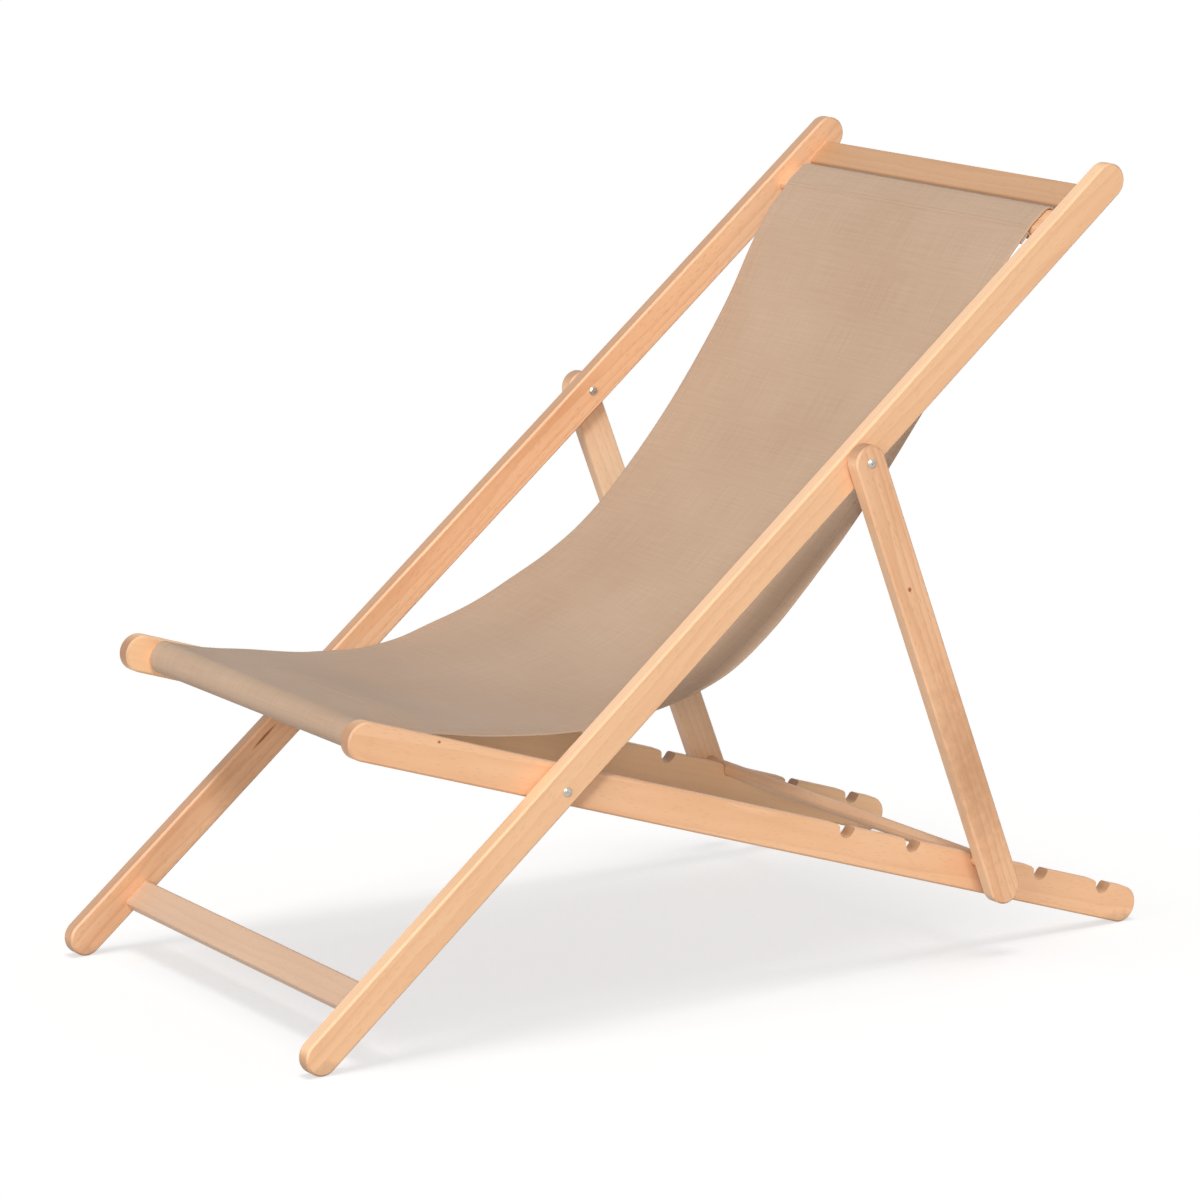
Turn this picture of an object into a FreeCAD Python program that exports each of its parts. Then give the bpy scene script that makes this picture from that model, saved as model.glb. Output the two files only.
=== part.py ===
"""A folding wooden deck chair with a hanging cloth seat.

Three frames make the chair: long back rails with their slats, seat rails joined by a front
bar, and a prop whose dowel rests in one of the notches of the seat rails. The slopes of the
frames are not given: they follow from the lengths, the notch in use and the level floor.
Millimetres, +Z up, the sitter faces -Y and their left is +X.
"""
import FreeCAD, Part
import math
import os
import Sketcher
from FreeCAD import Placement, Rotation, Vector

# Driving dimensions: name, value, what it measures
SIZES = [
    ("back_rail_length", 1288.0, "long back rail, tip to tip"),
    ("back_rail_width", 38.0, "back rail across its wide face"),
    ("back_rail_thickness", 18.0, "back rail from side to side"),
    ("seat_rail_length", 1037.0, "seat rail, tip to tip"),
    ("seat_rail_width", 40.0, "seat rail across its wide face"),
    ("seat_rail_thickness", 18.0, "seat rail from side to side"),
    ("prop_width", 37.0, "prop strut across its wide face"),
    ("prop_thickness", 18.0, "prop strut from side to side"),
    ("rail_gap", 2.0, "between neighbouring rails, filled by a washer"),
    ("edge_ease", 2.0, "bevel that eases the edges of rails and struts"),
    ("seat_pivot_from_foot", 385.0, "seat pivot from the foot tip of a back rail"),
    ("seat_pivot_drop_back", 4.0, "seat pivot below the middle line of a back rail"),
    ("prop_pivot_from_foot", 853.0, "prop pivot from the foot tip of a back rail"),
    ("seat_pivot_from_front", 253.0, "seat pivot from the front tip of a seat rail"),
    ("seat_pivot_drop_seat", 4.5, "seat pivot below the middle line of a seat rail"),
    ("pivot_to_dowel", 485.0, "prop pivot to the middle of the prop dowel"),
    ("prop_end_reach", 44.0, "middle of the dowel to the lower tip of a strut"),
    ("dowel_diameter", 16.0, "prop dowel"),
    ("dowel_depth", 12.0, "how far the dowel is let into each strut"),
    ("notch_first", 371.0, "seat pivot to the first notch, along the rail"),
    ("notch_pitch", 90.0, "from notch to notch"),
    ("notch_count", 5, "notches in each seat rail"),
    ("notch_skip_count", 2, "notches in front of the one that holds the dowel"),
    ("notch_depth", 13.0, "depth of a notch below the rail's upper edge"),
    ("notch_clearance", 0.4, "between the dowel and the round bottom of a notch"),
    ("notch_flare", 20.0, "lean of each notch wall, in degrees"),
    ("notch_lip_round", 5.0, "rounding of the front lip of a notch"),
    ("notch_headroom", 6.0, "how far the cutter stands above the rail"),
    ("slat_width", 34.0, "head slat and foot slat, across the wide face"),
    ("slat_thickness", 14.0, "head slat and foot slat"),
    ("slat_round", 3.0, "rounding of the slats' long edges"),
    ("slat_rear_margin", 1.0, "rear face of a slat inside the rails' rear edge"),
    ("head_slat_from_top", 42.0, "middle of the head slat from the top tip"),
    ("foot_slat_from_foot", 92.5, "middle of the foot slat from the foot tip"),
    ("sling_slat_width", 36.0, "slat in the cloth's top pocket"),
    ("sling_slat_thickness", 14.0, "slat in the cloth's top pocket, its edges full round"),
    ("sling_slat_from_top", 90.0, "middle of the sling slat from the top tip"),
    ("tenon_length", 12.0, "tenon on each end of a slat"),
    ("tenon_thickness", 6.0, "tenon, with round edges"),
    ("tenon_shoulder", 4.0, "step from the edge of a slat to its tenon"),
    ("joint_clearance", 0.1, "glue line round a tenon or a dowel end"),
    ("joint_end_gap", 0.5, "free depth behind a tenon or a dowel end"),
    ("front_bar_diameter", 25.0, "round front bar of the seat"),
    ("front_bar_tenon", 16.0, "round tenon of the front bar"),
    ("front_bar_from_front", 39.0, "front bar from the front tip of a seat rail"),
    ("sleeve_diameter", 7.0, "barrel that a pivot turns on"),
    ("sleeve_bore", 5.0, "bore of the barrel"),
    ("pivot_clearance", 0.1, "between the barrel and the wood, on the radius"),
    ("thread_clearance", 0.1, "between the bolt and the barrel, on the radius"),
    ("bolt_reach", 24.0, "shank of a pivot bolt"),
    ("head_diameter", 10.0, "raised head of a bolt or sleeve"),
    ("head_height", 2.4, "raised head of a bolt or sleeve"),
    ("head_rim", 0.9, "straight rim of a head"),
    ("crown_diameter", 6.4, "flat crown of a head"),
    ("sleeve_end_gap", 0.5, "end of the barrel short of the bolt's head"),
    ("driver_slot_width", 1.4, "screwdriver slot in a head"),
    ("driver_slot_depth", 1.1, "screwdriver slot in a head"),
    ("washer_diameter", 18.0, "washer between two rails"),
    ("washer_play", 0.1, "free space on each side of a washer"),
    ("cloth_thickness", 1.6, "folded canvas"),
    ("cloth_clearance", 0.3, "between the canvas and what it wraps"),
    ("sling_width", 436.0, "cloth, from edge to edge"),
    ("sling_side_gap", 8.0, "between an edge of the cloth and a seat rail"),
    ("sling_front_run", 114.5, "straight cloth behind the front bar"),
    ("sling_top_run", 233.0, "straight cloth below the sling slat"),
    ("sling_front_angle", 4.6, "cloth above the line of the seat rails at the front bar, degrees"),
    ("sling_top_angle", 15.4, "cloth below the line of the back rails at the sling slat, degrees"),
    ("sling_curve_ratio", 1.85, "tangent of the seat curve over the tangent of the back curve"),
    ("sling_split_clearance", 1.0, "path of the cloth's front end past the front pocket"),
    ("sling_split_gap", 1.5, "between the front pocket and the hanging cloth"),
]

# Sizes that follow from others: the frame is made round the cloth
FOLLOWING = [
    ("back_rail_spacing",
     "=sling_width + 2 * sling_side_gap + 2 * seat_rail_thickness + 2 * rail_gap + back_rail_thickness",
     "between the middles of the two back rails"),
]

doc = FreeCAD.newDocument("DeckChair")
sheet = doc.addObject("Spreadsheet::Sheet", "Sizes")
for row, (name, value, note) in enumerate(SIZES + FOLLOWING, start=1):
    sheet.set("A%d" % row, name)
    sheet.set("B%d" % row, str(value))
    sheet.setAlias("B%d" % row, name)
    sheet.set("C%d" % row, note)
doc.recompute()

# The sketcher's own numbers for the points of a curve and for its axes
START, END, CENTRE = range(1, 4)
X_AXIS, Y_AXIS = range(-1, -3, -1)
ORIGIN = X_AXIS
SIDES = (("left", 1), ("right", -1))
parts = []


def size(name):
    return float(sheet.get(name))


def amount(expression):
    return float(sheet.evalExpression(expression))


# Bodies, sketches and the features that every piece uses

def new_body(label):
    body = doc.addObject("PartDesign::Body", label)
    body.Label = label
    parts.append(body)
    return body


def new_sketch(body, name, along="0", across="0", lift="0", role="YZ_Plane"):
    """A sketch on one of the body's own planes, moved by the three expressions."""
    planes = [feature for feature in body.Origin.OriginFeatures if feature.Role == role]
    sketch = body.newObject("Sketcher::SketchObject", name)
    sketch.AttachmentSupport = [(planes[0], "")]
    sketch.MapMode = "FlatFace"
    for axis, expression in (("x", along), ("y", across), ("z", lift)):
        sketch.setExpression(".AttachmentOffset.Base." + axis, expression)
    return sketch


def bind(sketch, name, constraint, expression):
    sketch.renameConstraint(sketch.addConstraint(constraint), name)
    sketch.setExpression("Constraints." + name, expression)


def flat(x, y):
    return Vector(x, y, 0)


def circle_of(x, y, radius):
    return Part.Circle(flat(x, y), Vector(0, 0, 1), radius)


def draw_circle(sketch, diameter, name="radius"):
    ring = sketch.addGeometry(circle_of(0, 0, amount(diameter) / 2))
    sketch.addConstraint(Sketcher.Constraint("Coincident", ring, CENTRE, ORIGIN, START))
    half = "(%s) / 2" % diameter
    bind(sketch, name, Sketcher.Constraint("Radius", ring, amount(half)), half)


def draw_slot(sketch, run, width):
    """Two half circles joined by straight sides, from the sketch's origin along its X axis."""
    length = amount(run)
    radius = amount(width) / 2
    quarter = math.pi / 2
    first = sketch.addGeometry(Part.ArcOfCircle(circle_of(0, 0, radius), quarter, 3 * quarter))
    lower = sketch.addGeometry(Part.LineSegment(flat(0, -radius), flat(length, -radius)))
    last = sketch.addGeometry(Part.ArcOfCircle(circle_of(length, 0, radius), -quarter, quarter))
    upper = sketch.addGeometry(Part.LineSegment(flat(length, radius), flat(0, radius)))
    for one, other in ((first, lower), (lower, last), (last, upper), (upper, first)):
        sketch.addConstraint(Sketcher.Constraint("Tangent", one, END, other, START))
    sketch.addConstraint(Sketcher.Constraint("Coincident", first, CENTRE, ORIGIN, START))
    sketch.addConstraint(Sketcher.Constraint("PointOnObject", last, CENTRE, X_AXIS))
    sketch.addConstraint(Sketcher.Constraint("Equal", first, last))
    bind(sketch, "run", Sketcher.Constraint("DistanceX", ORIGIN, START, last, CENTRE, length), run)
    bind(sketch, "radius", Sketcher.Constraint("Radius", first, radius), "(%s) / 2" % width)


def draw_rectangle(sketch, width, height):
    """A rectangle about the sketch's origin."""
    x = amount(width) / 2
    y = amount(height) / 2
    corners = [flat(-x, -y), flat(x, -y), flat(x, y), flat(-x, y)]
    sides = []
    for here, there in zip(corners, corners[1:] + corners[:1]):
        sides.append(sketch.addGeometry(Part.LineSegment(here, there)))
    for one, other in zip(sides, sides[1:] + sides[:1]):
        sketch.addConstraint(Sketcher.Constraint("Coincident", one, END, other, START))
    for index, side in enumerate(sides):
        kind = "Vertical" if index % 2 else "Horizontal"
        sketch.addConstraint(Sketcher.Constraint(kind, side))
    sketch.addConstraint(
        Sketcher.Constraint("Symmetric", sides[0], START, sides[1], END, ORIGIN, START))
    bind(sketch, "width", Sketcher.Constraint("DistanceX", sides[0], START, sides[0], END, 2 * x), width)
    bind(sketch, "height", Sketcher.Constraint("DistanceY", sides[1], START, sides[1], END, 2 * y), height)


def add_pad(body, name, sketch, length):
    """Wood on both sides of the sketch, this long in all."""
    pad = body.newObject("PartDesign::Pad", name)
    pad.Profile = sketch
    pad.SideType = "Symmetric"
    pad.setExpression("Length", length)
    doc.recompute()
    return pad


def add_cut(body, name, sketch, depth=None, towards=0):
    """A cut right through, or a blind one towards +X or -X of the body."""
    before = body.Shape.Volume
    cut = body.newObject("PartDesign::Pocket", name)
    cut.Profile = sketch
    if depth is None:
        cut.Type = "ThroughAll"
        cut.SideType = "Symmetric"
    else:
        cut.Type = "Length"
        cut.setExpression("Length", depth)
        cut.Reversed = towards > 0
    doc.recompute()
    if not cut.Shape.Volume < before:
        raise RuntimeError("%s of %s cuts nothing" % (name, body.Label))
    return cut


def ease_edges(body, name, feature, kind, amount_name, amount_of, wanted):
    """Bevel or round the wanted edges of a feature."""
    edges = ["Edge%d" % number for number, edge in enumerate(feature.Shape.Edges, start=1) if wanted(edge)]
    eased = body.newObject(kind, name)
    eased.Base = (feature, edges)
    eased.setExpression(amount_name, amount_of)
    doc.recompute()


def in_side_face(edge):
    return edge.BoundBox.XLength < Part.Precision.confusion() * 10


def along_x(edge):
    return edge.BoundBox.XLength > size("slat_width")


# Where the frames stand: everything below is in the plane of one side, as (0, y, z)

def unit(angle):
    return Vector(0, math.cos(angle), math.sin(angle))


def left_of(angle):
    return Vector(0, -math.sin(angle), math.cos(angle))


class Stance:
    """Slopes and pivots that follow from the lengths, the notch in use and the floor."""

    def __init__(self):
        foot_radius = size("back_rail_width") / 2
        rear_radius = size("seat_rail_width") / 2
        drop_back = size("seat_pivot_drop_back")
        drop_seat = size("seat_pivot_drop_seat")
        to_seat_pivot = size("seat_pivot_from_foot") - foot_radius
        to_prop_pivot = size("prop_pivot_from_foot") - foot_radius
        to_rear_end = size("seat_rail_length") - size("seat_pivot_from_front") - rear_radius
        notch_radius = size("dowel_diameter") / 2 + size("notch_clearance")
        notch_along = size("notch_first") + size("notch_skip_count") * size("notch_pitch")
        notch_above = drop_seat + rear_radius - size("notch_depth") + notch_radius
        # The triangle of seat pivot, prop pivot and dowel gives the angle between the frames
        upper_side = math.hypot(to_prop_pivot - to_seat_pivot, drop_back)
        lower_side = math.hypot(notch_along, notch_above)
        prop_side = size("pivot_to_dowel")
        cosine = (upper_side ** 2 + lower_side ** 2 - prop_side ** 2) / (2 * upper_side * lower_side)
        opening = math.acos(cosine)
        opening += math.atan2(notch_above, notch_along)
        opening -= math.atan2(drop_back, to_prop_pivot - to_seat_pivot)
        # Both round ends rest on the floor, which gives the slope of the back rails
        sine_part = to_seat_pivot + to_rear_end * math.cos(opening) + drop_seat * math.sin(opening)
        cosine_part = -drop_back - to_rear_end * math.sin(opening) + drop_seat * math.cos(opening)
        step = rear_radius - foot_radius
        self.back = math.asin(step / math.hypot(sine_part, cosine_part)) - math.atan2(cosine_part, sine_part)
        self.seat = self.back - opening
        reach = to_seat_pivot * math.cos(self.back) + drop_back * math.sin(self.back)
        rear = reach + to_rear_end * math.cos(self.seat) - drop_seat * math.sin(self.seat)
        # The origin is on the floor, halfway between the front and rear tips
        front_tip = -foot_radius
        rear_tip = rear + rear_radius
        self.foot = Vector(0, -(front_tip + rear_tip) / 2, foot_radius)
        self.seat_pivot = self.on_back(to_seat_pivot, -drop_back)
        self.prop_pivot = self.on_back(to_prop_pivot, 0)
        self.seat_front = self.seat_pivot - unit(self.seat) * (size("seat_pivot_from_front") - rear_radius)
        self.seat_front += left_of(self.seat) * drop_seat
        self.dowel = self.seat_pivot + unit(self.seat) * notch_along + left_of(self.seat) * notch_above
        strut = self.dowel - self.prop_pivot
        self.prop = math.atan2(strut.z, strut.y)
        self.top_tip = size("back_rail_length") - foot_radius

    def on_back(self, along, above):
        return self.foot + unit(self.back) * along + left_of(self.back) * above

    def on_seat(self, along, above):
        return self.seat_front + unit(self.seat) * along + left_of(self.seat) * above


stance = Stance()
back_x = size("back_rail_spacing") / 2
seat_x = back_x - (size("back_rail_thickness") + size("seat_rail_thickness")) / 2 - size("rail_gap")
prop_x = back_x + (size("back_rail_thickness") + size("prop_thickness")) / 2 + size("rail_gap")
back_clear = "(Sizes.back_rail_spacing - Sizes.back_rail_thickness)"
seat_clear = "(%s - 2 * Sizes.rail_gap - 2 * Sizes.seat_rail_thickness)" % back_clear
prop_clear = "(Sizes.back_rail_spacing + Sizes.back_rail_thickness + 2 * Sizes.rail_gap)"
pivot_hole = "Sizes.sleeve_diameter + 2 * Sizes.pivot_clearance"
mortise_depth = "Sizes.tenon_length + Sizes.joint_end_gap"
slat_depth = "(Sizes.slat_rear_margin + (Sizes.slat_thickness - Sizes.back_rail_width) / 2)"


def place(body, point, angle, x=0.0):
    """Stand the body at this point of the side plane, turned by the angle about X."""
    turn = Rotation(Vector(1, 0, 0), math.degrees(angle))
    body.Placement = Placement(point + Vector(x, 0, 0), turn)


# Rails and struts

def plain_rail(label, run, width, thickness):
    """A board with half-round ends and eased edges, its first end at the body's origin."""
    body = new_body(label)
    outline = new_sketch(body, label + "_outline")
    draw_slot(outline, run, width)
    board = add_pad(body, label + "_board", outline, thickness)
    ease_edges(body, label + "_edges", board, "PartDesign::Chamfer", "Size", "Sizes.edge_ease", in_side_face)
    return body


def bore_pivot(body, name, along, across):
    hole = new_sketch(body, body.Label + name, along, across)
    draw_circle(hole, pivot_hole)
    add_cut(body, body.Label + name + "_hole", hole)


def cut_mortise(body, name, side, thickness, along, across, slat):
    """A blind slot in the inner face of a back rail for the tenon of a slat."""
    height = "Sizes.tenon_thickness + 2 * Sizes.joint_clearance"
    run = "%s - 2 * Sizes.tenon_shoulder - Sizes.tenon_thickness" % slat
    face = "%d * %s / 2" % (-side, thickness)
    outline = new_sketch(body, body.Label + name, "%s - (%s) / 2" % (along, run), across, face)
    draw_slot(outline, run, height)
    add_cut(body, body.Label + name + "_mortise", outline, mortise_depth, side)


def make_back_rail(name, side):
    run = "Sizes.back_rail_length - Sizes.back_rail_width"
    foot = "- Sizes.back_rail_width / 2"
    label = "back_rail_" + name
    body = plain_rail(label, run, "Sizes.back_rail_width", "Sizes.back_rail_thickness")
    bore_pivot(body, "_seat_pivot", "Sizes.seat_pivot_from_foot" + foot, "-Sizes.seat_pivot_drop_back")
    bore_pivot(body, "_prop_pivot", "Sizes.prop_pivot_from_foot" + foot, "0")
    top = "Sizes.back_rail_length - Sizes.back_rail_width / 2 - Sizes."
    slats = (("_head", top + "head_slat_from_top", slat_depth, "Sizes.slat_width"),
             ("_sling", top + "sling_slat_from_top", "0", "Sizes.sling_slat_width"),
             ("_foot", "Sizes.foot_slat_from_foot" + foot, slat_depth, "Sizes.slat_width"))
    for slat, along, across, width in slats:
        cut_mortise(body, slat, side, "Sizes.back_rail_thickness", along, across, width)
    place(body, stance.foot, stance.back, side * back_x)


def draw_notch(sketch):
    """A notch about the middle of the dowel: round bottom, leaning walls, rounded front lip."""
    radius_text = "Sizes.dowel_diameter / 2 + Sizes.notch_clearance"
    rim_text = "Sizes.notch_depth - Sizes.dowel_diameter / 2 - Sizes.notch_clearance"
    top_text = "%s + Sizes.notch_headroom" % rim_text
    radius = amount(radius_text)
    rim = amount(rim_text)
    top = amount(top_text)
    lip = size("notch_lip_round")
    flare = math.radians(size("notch_flare"))
    sine, cosine = math.sin(flare), math.cos(flare)
    lip_x = -(radius + lip + (rim - lip) * sine) / cosine
    front_foot = flat(-radius * cosine, -radius * sine)
    rear_foot = flat(radius * cosine, -radius * sine)
    rear_top = rear_foot + flat(sine, cosine) * ((top - rear_foot.y) / cosine)
    lip_end = flat(lip_x + lip * cosine, rim - lip + lip * sine)
    bottom = sketch.addGeometry(
        Part.ArcOfCircle(circle_of(0, 0, radius), math.pi + flare, 2 * math.pi - flare))
    rear = sketch.addGeometry(Part.LineSegment(rear_foot, rear_top))
    roof = sketch.addGeometry(Part.LineSegment(rear_top, flat(lip_x, top)))
    post = sketch.addGeometry(Part.LineSegment(flat(lip_x, top), flat(lip_x, rim)))
    lip_arc = sketch.addGeometry(
        Part.ArcOfCircle(circle_of(lip_x, rim - lip, lip), flare, math.pi / 2))
    front = sketch.addGeometry(Part.LineSegment(front_foot, lip_end))
    sketch.addConstraint(Sketcher.Constraint("Coincident", bottom, CENTRE, ORIGIN, START))
    sketch.addConstraint(Sketcher.Constraint("Tangent", bottom, END, rear, START))
    sketch.addConstraint(Sketcher.Constraint("Tangent", bottom, START, front, START))
    sketch.addConstraint(Sketcher.Constraint("Tangent", front, END, lip_arc, START))
    sketch.addConstraint(Sketcher.Constraint("Coincident", rear, END, roof, START))
    sketch.addConstraint(Sketcher.Constraint("Coincident", roof, END, post, START))
    sketch.addConstraint(Sketcher.Constraint("Coincident", post, END, lip_arc, END))
    sketch.addConstraint(Sketcher.Constraint("Horizontal", roof))
    sketch.addConstraint(Sketcher.Constraint("Vertical", post))
    sketch.addConstraint(Sketcher.Constraint("Vertical", lip_arc, CENTRE, lip_arc, END))
    bind(sketch, "bottom", Sketcher.Constraint("Radius", bottom, radius), radius_text)
    bind(sketch, "lip", Sketcher.Constraint("Radius", lip_arc, lip), "Sizes.notch_lip_round")
    bind(sketch, "rim", Sketcher.Constraint("DistanceY", ORIGIN, START, lip_arc, END, rim), rim_text)
    bind(sketch, "roof", Sketcher.Constraint("DistanceY", ORIGIN, START, rear, END, top), top_text)
    bind(sketch, "rear_lean", Sketcher.Constraint("Angle", rear, math.pi / 2 - flare),
         "(90 - Sizes.notch_flare) * 1 deg")
    bind(sketch, "front_lean", Sketcher.Constraint("Angle", front, math.pi / 2 + flare),
         "(90 + Sizes.notch_flare) * 1 deg")


def make_seat_rail(name, side):
    run = "Sizes.seat_rail_length - Sizes.seat_rail_width"
    front = "- Sizes.seat_rail_width / 2"
    label = "seat_rail_" + name
    body = plain_rail(label, run, "Sizes.seat_rail_width", "Sizes.seat_rail_thickness")
    pivot_along = "Sizes.seat_pivot_from_front" + front
    bore_pivot(body, "_seat_pivot", pivot_along, "-Sizes.seat_pivot_drop_seat")
    face = "%d * Sizes.seat_rail_thickness / 2" % -side
    socket = new_sketch(body, label + "_bar", "Sizes.front_bar_from_front" + front, "0", face)
    draw_circle(socket, "Sizes.front_bar_tenon + 2 * Sizes.joint_clearance")
    add_cut(body, label + "_bar_socket", socket, mortise_depth, side)
    middle = "Sizes.seat_rail_width / 2 - Sizes.notch_depth + Sizes.dowel_diameter / 2 + Sizes.notch_clearance"
    outline = new_sketch(body, label + "_notch", pivot_along + " + Sizes.notch_first", middle)
    draw_notch(outline)
    notch = add_cut(body, label + "_first_notch", outline)
    row = body.newObject("PartDesign::LinearPattern", label + "_notches")
    row.Originals = [notch]
    axis = [feature for feature in body.Origin.OriginFeatures if feature.Role == "Y_Axis"]
    row.Direction = (axis[0], [""])
    row.setExpression("Length", "Sizes.notch_pitch * (Sizes.notch_count - 1)")
    row.setExpression("Occurrences", "Sizes.notch_count")
    body.Tip = row
    doc.recompute()
    place(body, stance.seat_front, stance.seat, side * seat_x)


def make_prop_strut(name, side):
    run = "Sizes.pivot_to_dowel + Sizes.prop_end_reach - Sizes.prop_width / 2"
    label = "prop_strut_" + name
    body = plain_rail(label, run, "Sizes.prop_width", "Sizes.prop_thickness")
    bore_pivot(body, "_prop_pivot", "0", "0")
    face = "%d * Sizes.prop_thickness / 2" % -side
    socket = new_sketch(body, label + "_dowel", "Sizes.pivot_to_dowel", "0", face)
    draw_circle(socket, "Sizes.dowel_diameter + 2 * Sizes.joint_clearance")
    add_cut(body, label + "_dowel_socket", socket, "Sizes.dowel_depth + Sizes.joint_end_gap", side)
    place(body, stance.prop_pivot, stance.prop, side * prop_x)


# Slats, the front bar and the dowel

def add_tenons(body, width):
    run = "%s - 2 * Sizes.tenon_shoulder - Sizes.tenon_thickness" % width
    tenon = new_sketch(body, body.Label + "_tenon", "-(%s) / 2" % run)
    draw_slot(tenon, run, "Sizes.tenon_thickness")
    add_pad(body, body.Label + "_tenons", tenon, back_clear + " + 2 * Sizes.tenon_length")


def make_slat(label, along):
    """A flat slat with rounded edges, let into the back rails near their rear edge."""
    body = new_body(label)
    section = new_sketch(body, label + "_section")
    draw_rectangle(section, "Sizes.slat_width", "Sizes.slat_thickness")
    board = add_pad(body, label + "_board", section, back_clear)
    ease_edges(body, label + "_edges", board, "PartDesign::Fillet", "Radius", "Sizes.slat_round", along_x)
    add_tenons(body, "Sizes.slat_width")
    place(body, stance.on_back(along, amount(slat_depth)), stance.back)


def make_sling_slat():
    """The slat in the cloth's top pocket: full-round edges, in the middle of the rails."""
    body = new_body("sling_slat")
    run = "Sizes.sling_slat_width - Sizes.sling_slat_thickness"
    section = new_sketch(body, "sling_slat_section", "-(%s) / 2" % run)
    draw_slot(section, run, "Sizes.sling_slat_thickness")
    add_pad(body, "sling_slat_board", section, back_clear)
    add_tenons(body, "Sizes.sling_slat_width")
    place(body, stance.on_back(stance.top_tip - size("sling_slat_from_top"), 0), stance.back)


def bar_middle():
    return stance.on_seat(size("front_bar_from_front") - size("seat_rail_width") / 2, 0)


def make_front_bar():
    body = new_body("seat_front_bar")
    section = new_sketch(body, "front_bar_section")
    draw_circle(section, "Sizes.front_bar_diameter")
    add_pad(body, "front_bar_round", section, seat_clear)
    tenon = new_sketch(body, "front_bar_tenon")
    draw_circle(tenon, "Sizes.front_bar_tenon")
    add_pad(body, "front_bar_tenons", tenon, seat_clear + " + 2 * Sizes.tenon_length")
    place(body, bar_middle(), stance.seat)


def make_prop_dowel():
    body = new_body("prop_dowel")
    section = new_sketch(body, "prop_dowel_section")
    draw_circle(section, "Sizes.dowel_diameter")
    add_pad(body, "prop_dowel_round", section, prop_clear + " + 2 * Sizes.dowel_depth")
    place(body, stance.dowel, stance.prop)


# Pivots: a slotted bolt in a barrel sleeve, with a washer between the rails

def draw_polygon(sketch, corners):
    """Straight sides between corners, each given by two expressions."""
    spots = [flat(amount(x), amount(y)) for x, y in corners]
    sides = []
    for here, there in zip(spots, spots[1:] + spots[:1]):
        sides.append(sketch.addGeometry(Part.LineSegment(here, there)))
    for one, other in zip(sides, sides[1:] + sides[:1]):
        sketch.addConstraint(Sketcher.Constraint("Coincident", one, END, other, START))
    for index, side in enumerate(sides):
        x, y = corners[index]
        for kind, axis, text, value in (("DistanceX", Y_AXIS, x, spots[index].x),
                                        ("DistanceY", X_AXIS, y, spots[index].y)):
            if text == "0":
                sketch.addConstraint(Sketcher.Constraint("PointOnObject", side, START, axis))
            elif value < 0:
                back = Sketcher.Constraint(kind, side, START, ORIGIN, START, -value)
                bind(sketch, "%s_%d" % (kind, index), back, "-(%s)" % text)
            else:
                out = Sketcher.Constraint(kind, ORIGIN, START, side, START, value)
                bind(sketch, "%s_%d" % (kind, index), out, text)


def turned_head(body, shank, reach, bore="0"):
    """A slotted raised head on +X with a shank or barrel behind it, turned about the body's X axis."""
    label = body.Label
    head = "Sizes.head_diameter / 2"
    half = "(%s) / 2" % shank
    corners = [("0", head), ("0", half), ("-(%s)" % reach, half)]
    if bore == "0":
        corners.append(("-(%s)" % reach, "0"))
    else:
        inner = "(%s) / 2" % bore
        corners += [("-(%s)" % reach, inner), ("0", inner), ("0", "0")]
    corners += [("Sizes.head_height", "0"), ("Sizes.head_height", "Sizes.crown_diameter / 2")]
    corners.append(("Sizes.head_rim", head))
    outline = new_sketch(body, label + "_profile", role="XY_Plane")
    draw_polygon(outline, corners)
    axis = [feature for feature in body.Origin.OriginFeatures if feature.Role == "X_Axis"]
    turned = body.newObject("PartDesign::Revolution", label + "_turned")
    turned.Profile = outline
    turned.ReferenceAxis = (axis[0], [""])
    doc.recompute()
    slot = new_sketch(body, label + "_slot", lift="Sizes.head_height")
    draw_rectangle(slot, "Sizes.head_diameter + Sizes.head_height", "Sizes.driver_slot_width")
    add_cut(body, label + "_driver_slot", slot, "Sizes.driver_slot_depth", -1)


def pivot_hardware(name, side, word, point, angle, outer_x, outer_thickness, inner_x, inner_thickness):
    """Bolt from outside, sleeve from inside, washer in the gap, on one side of the chair."""
    outer_face = outer_x + size(outer_thickness) / 2
    inner_face = inner_x - size(inner_thickness) / 2
    gap_middle = outer_x - size(outer_thickness) / 2 - size("rail_gap") / 2
    grip = "Sizes.%s + Sizes.rail_gap + Sizes.%s" % (outer_thickness, inner_thickness)
    outward = Rotation(Vector(0, 0, 1), 0 if side > 0 else 180)
    inward = Rotation(Vector(0, 0, 1), 180 if side > 0 else 0)
    tilt = Rotation(Vector(1, 0, 0), math.degrees(angle))
    bolt = new_body("%s_pivot_bolt_%s" % (word, name))
    turned_head(bolt, "Sizes.sleeve_bore - 2 * Sizes.thread_clearance", "Sizes.bolt_reach")
    bolt.Placement = Placement(point + Vector(side * outer_face, 0, 0), tilt.multiply(outward))
    sleeve = new_body("%s_pivot_sleeve_%s" % (word, name))
    turned_head(sleeve, "Sizes.sleeve_diameter", grip + " - Sizes.sleeve_end_gap", "Sizes.sleeve_bore")
    sleeve.Placement = Placement(point + Vector(side * inner_face, 0, 0), tilt.multiply(inward))
    washer = new_body("%s_pivot_washer_%s" % (word, name))
    ring = new_sketch(washer, washer.Label + "_ring")
    draw_circle(ring, "Sizes.washer_diameter", "outer")
    draw_circle(ring, pivot_hole, "inner")
    add_pad(washer, washer.Label + "_disc", ring, "Sizes.rail_gap - 2 * Sizes.washer_play")
    place(washer, point, angle, side * gap_middle)


# The cloth: a hanging panel with a pocket round the sling slat, and a pocket round the front bar

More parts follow.
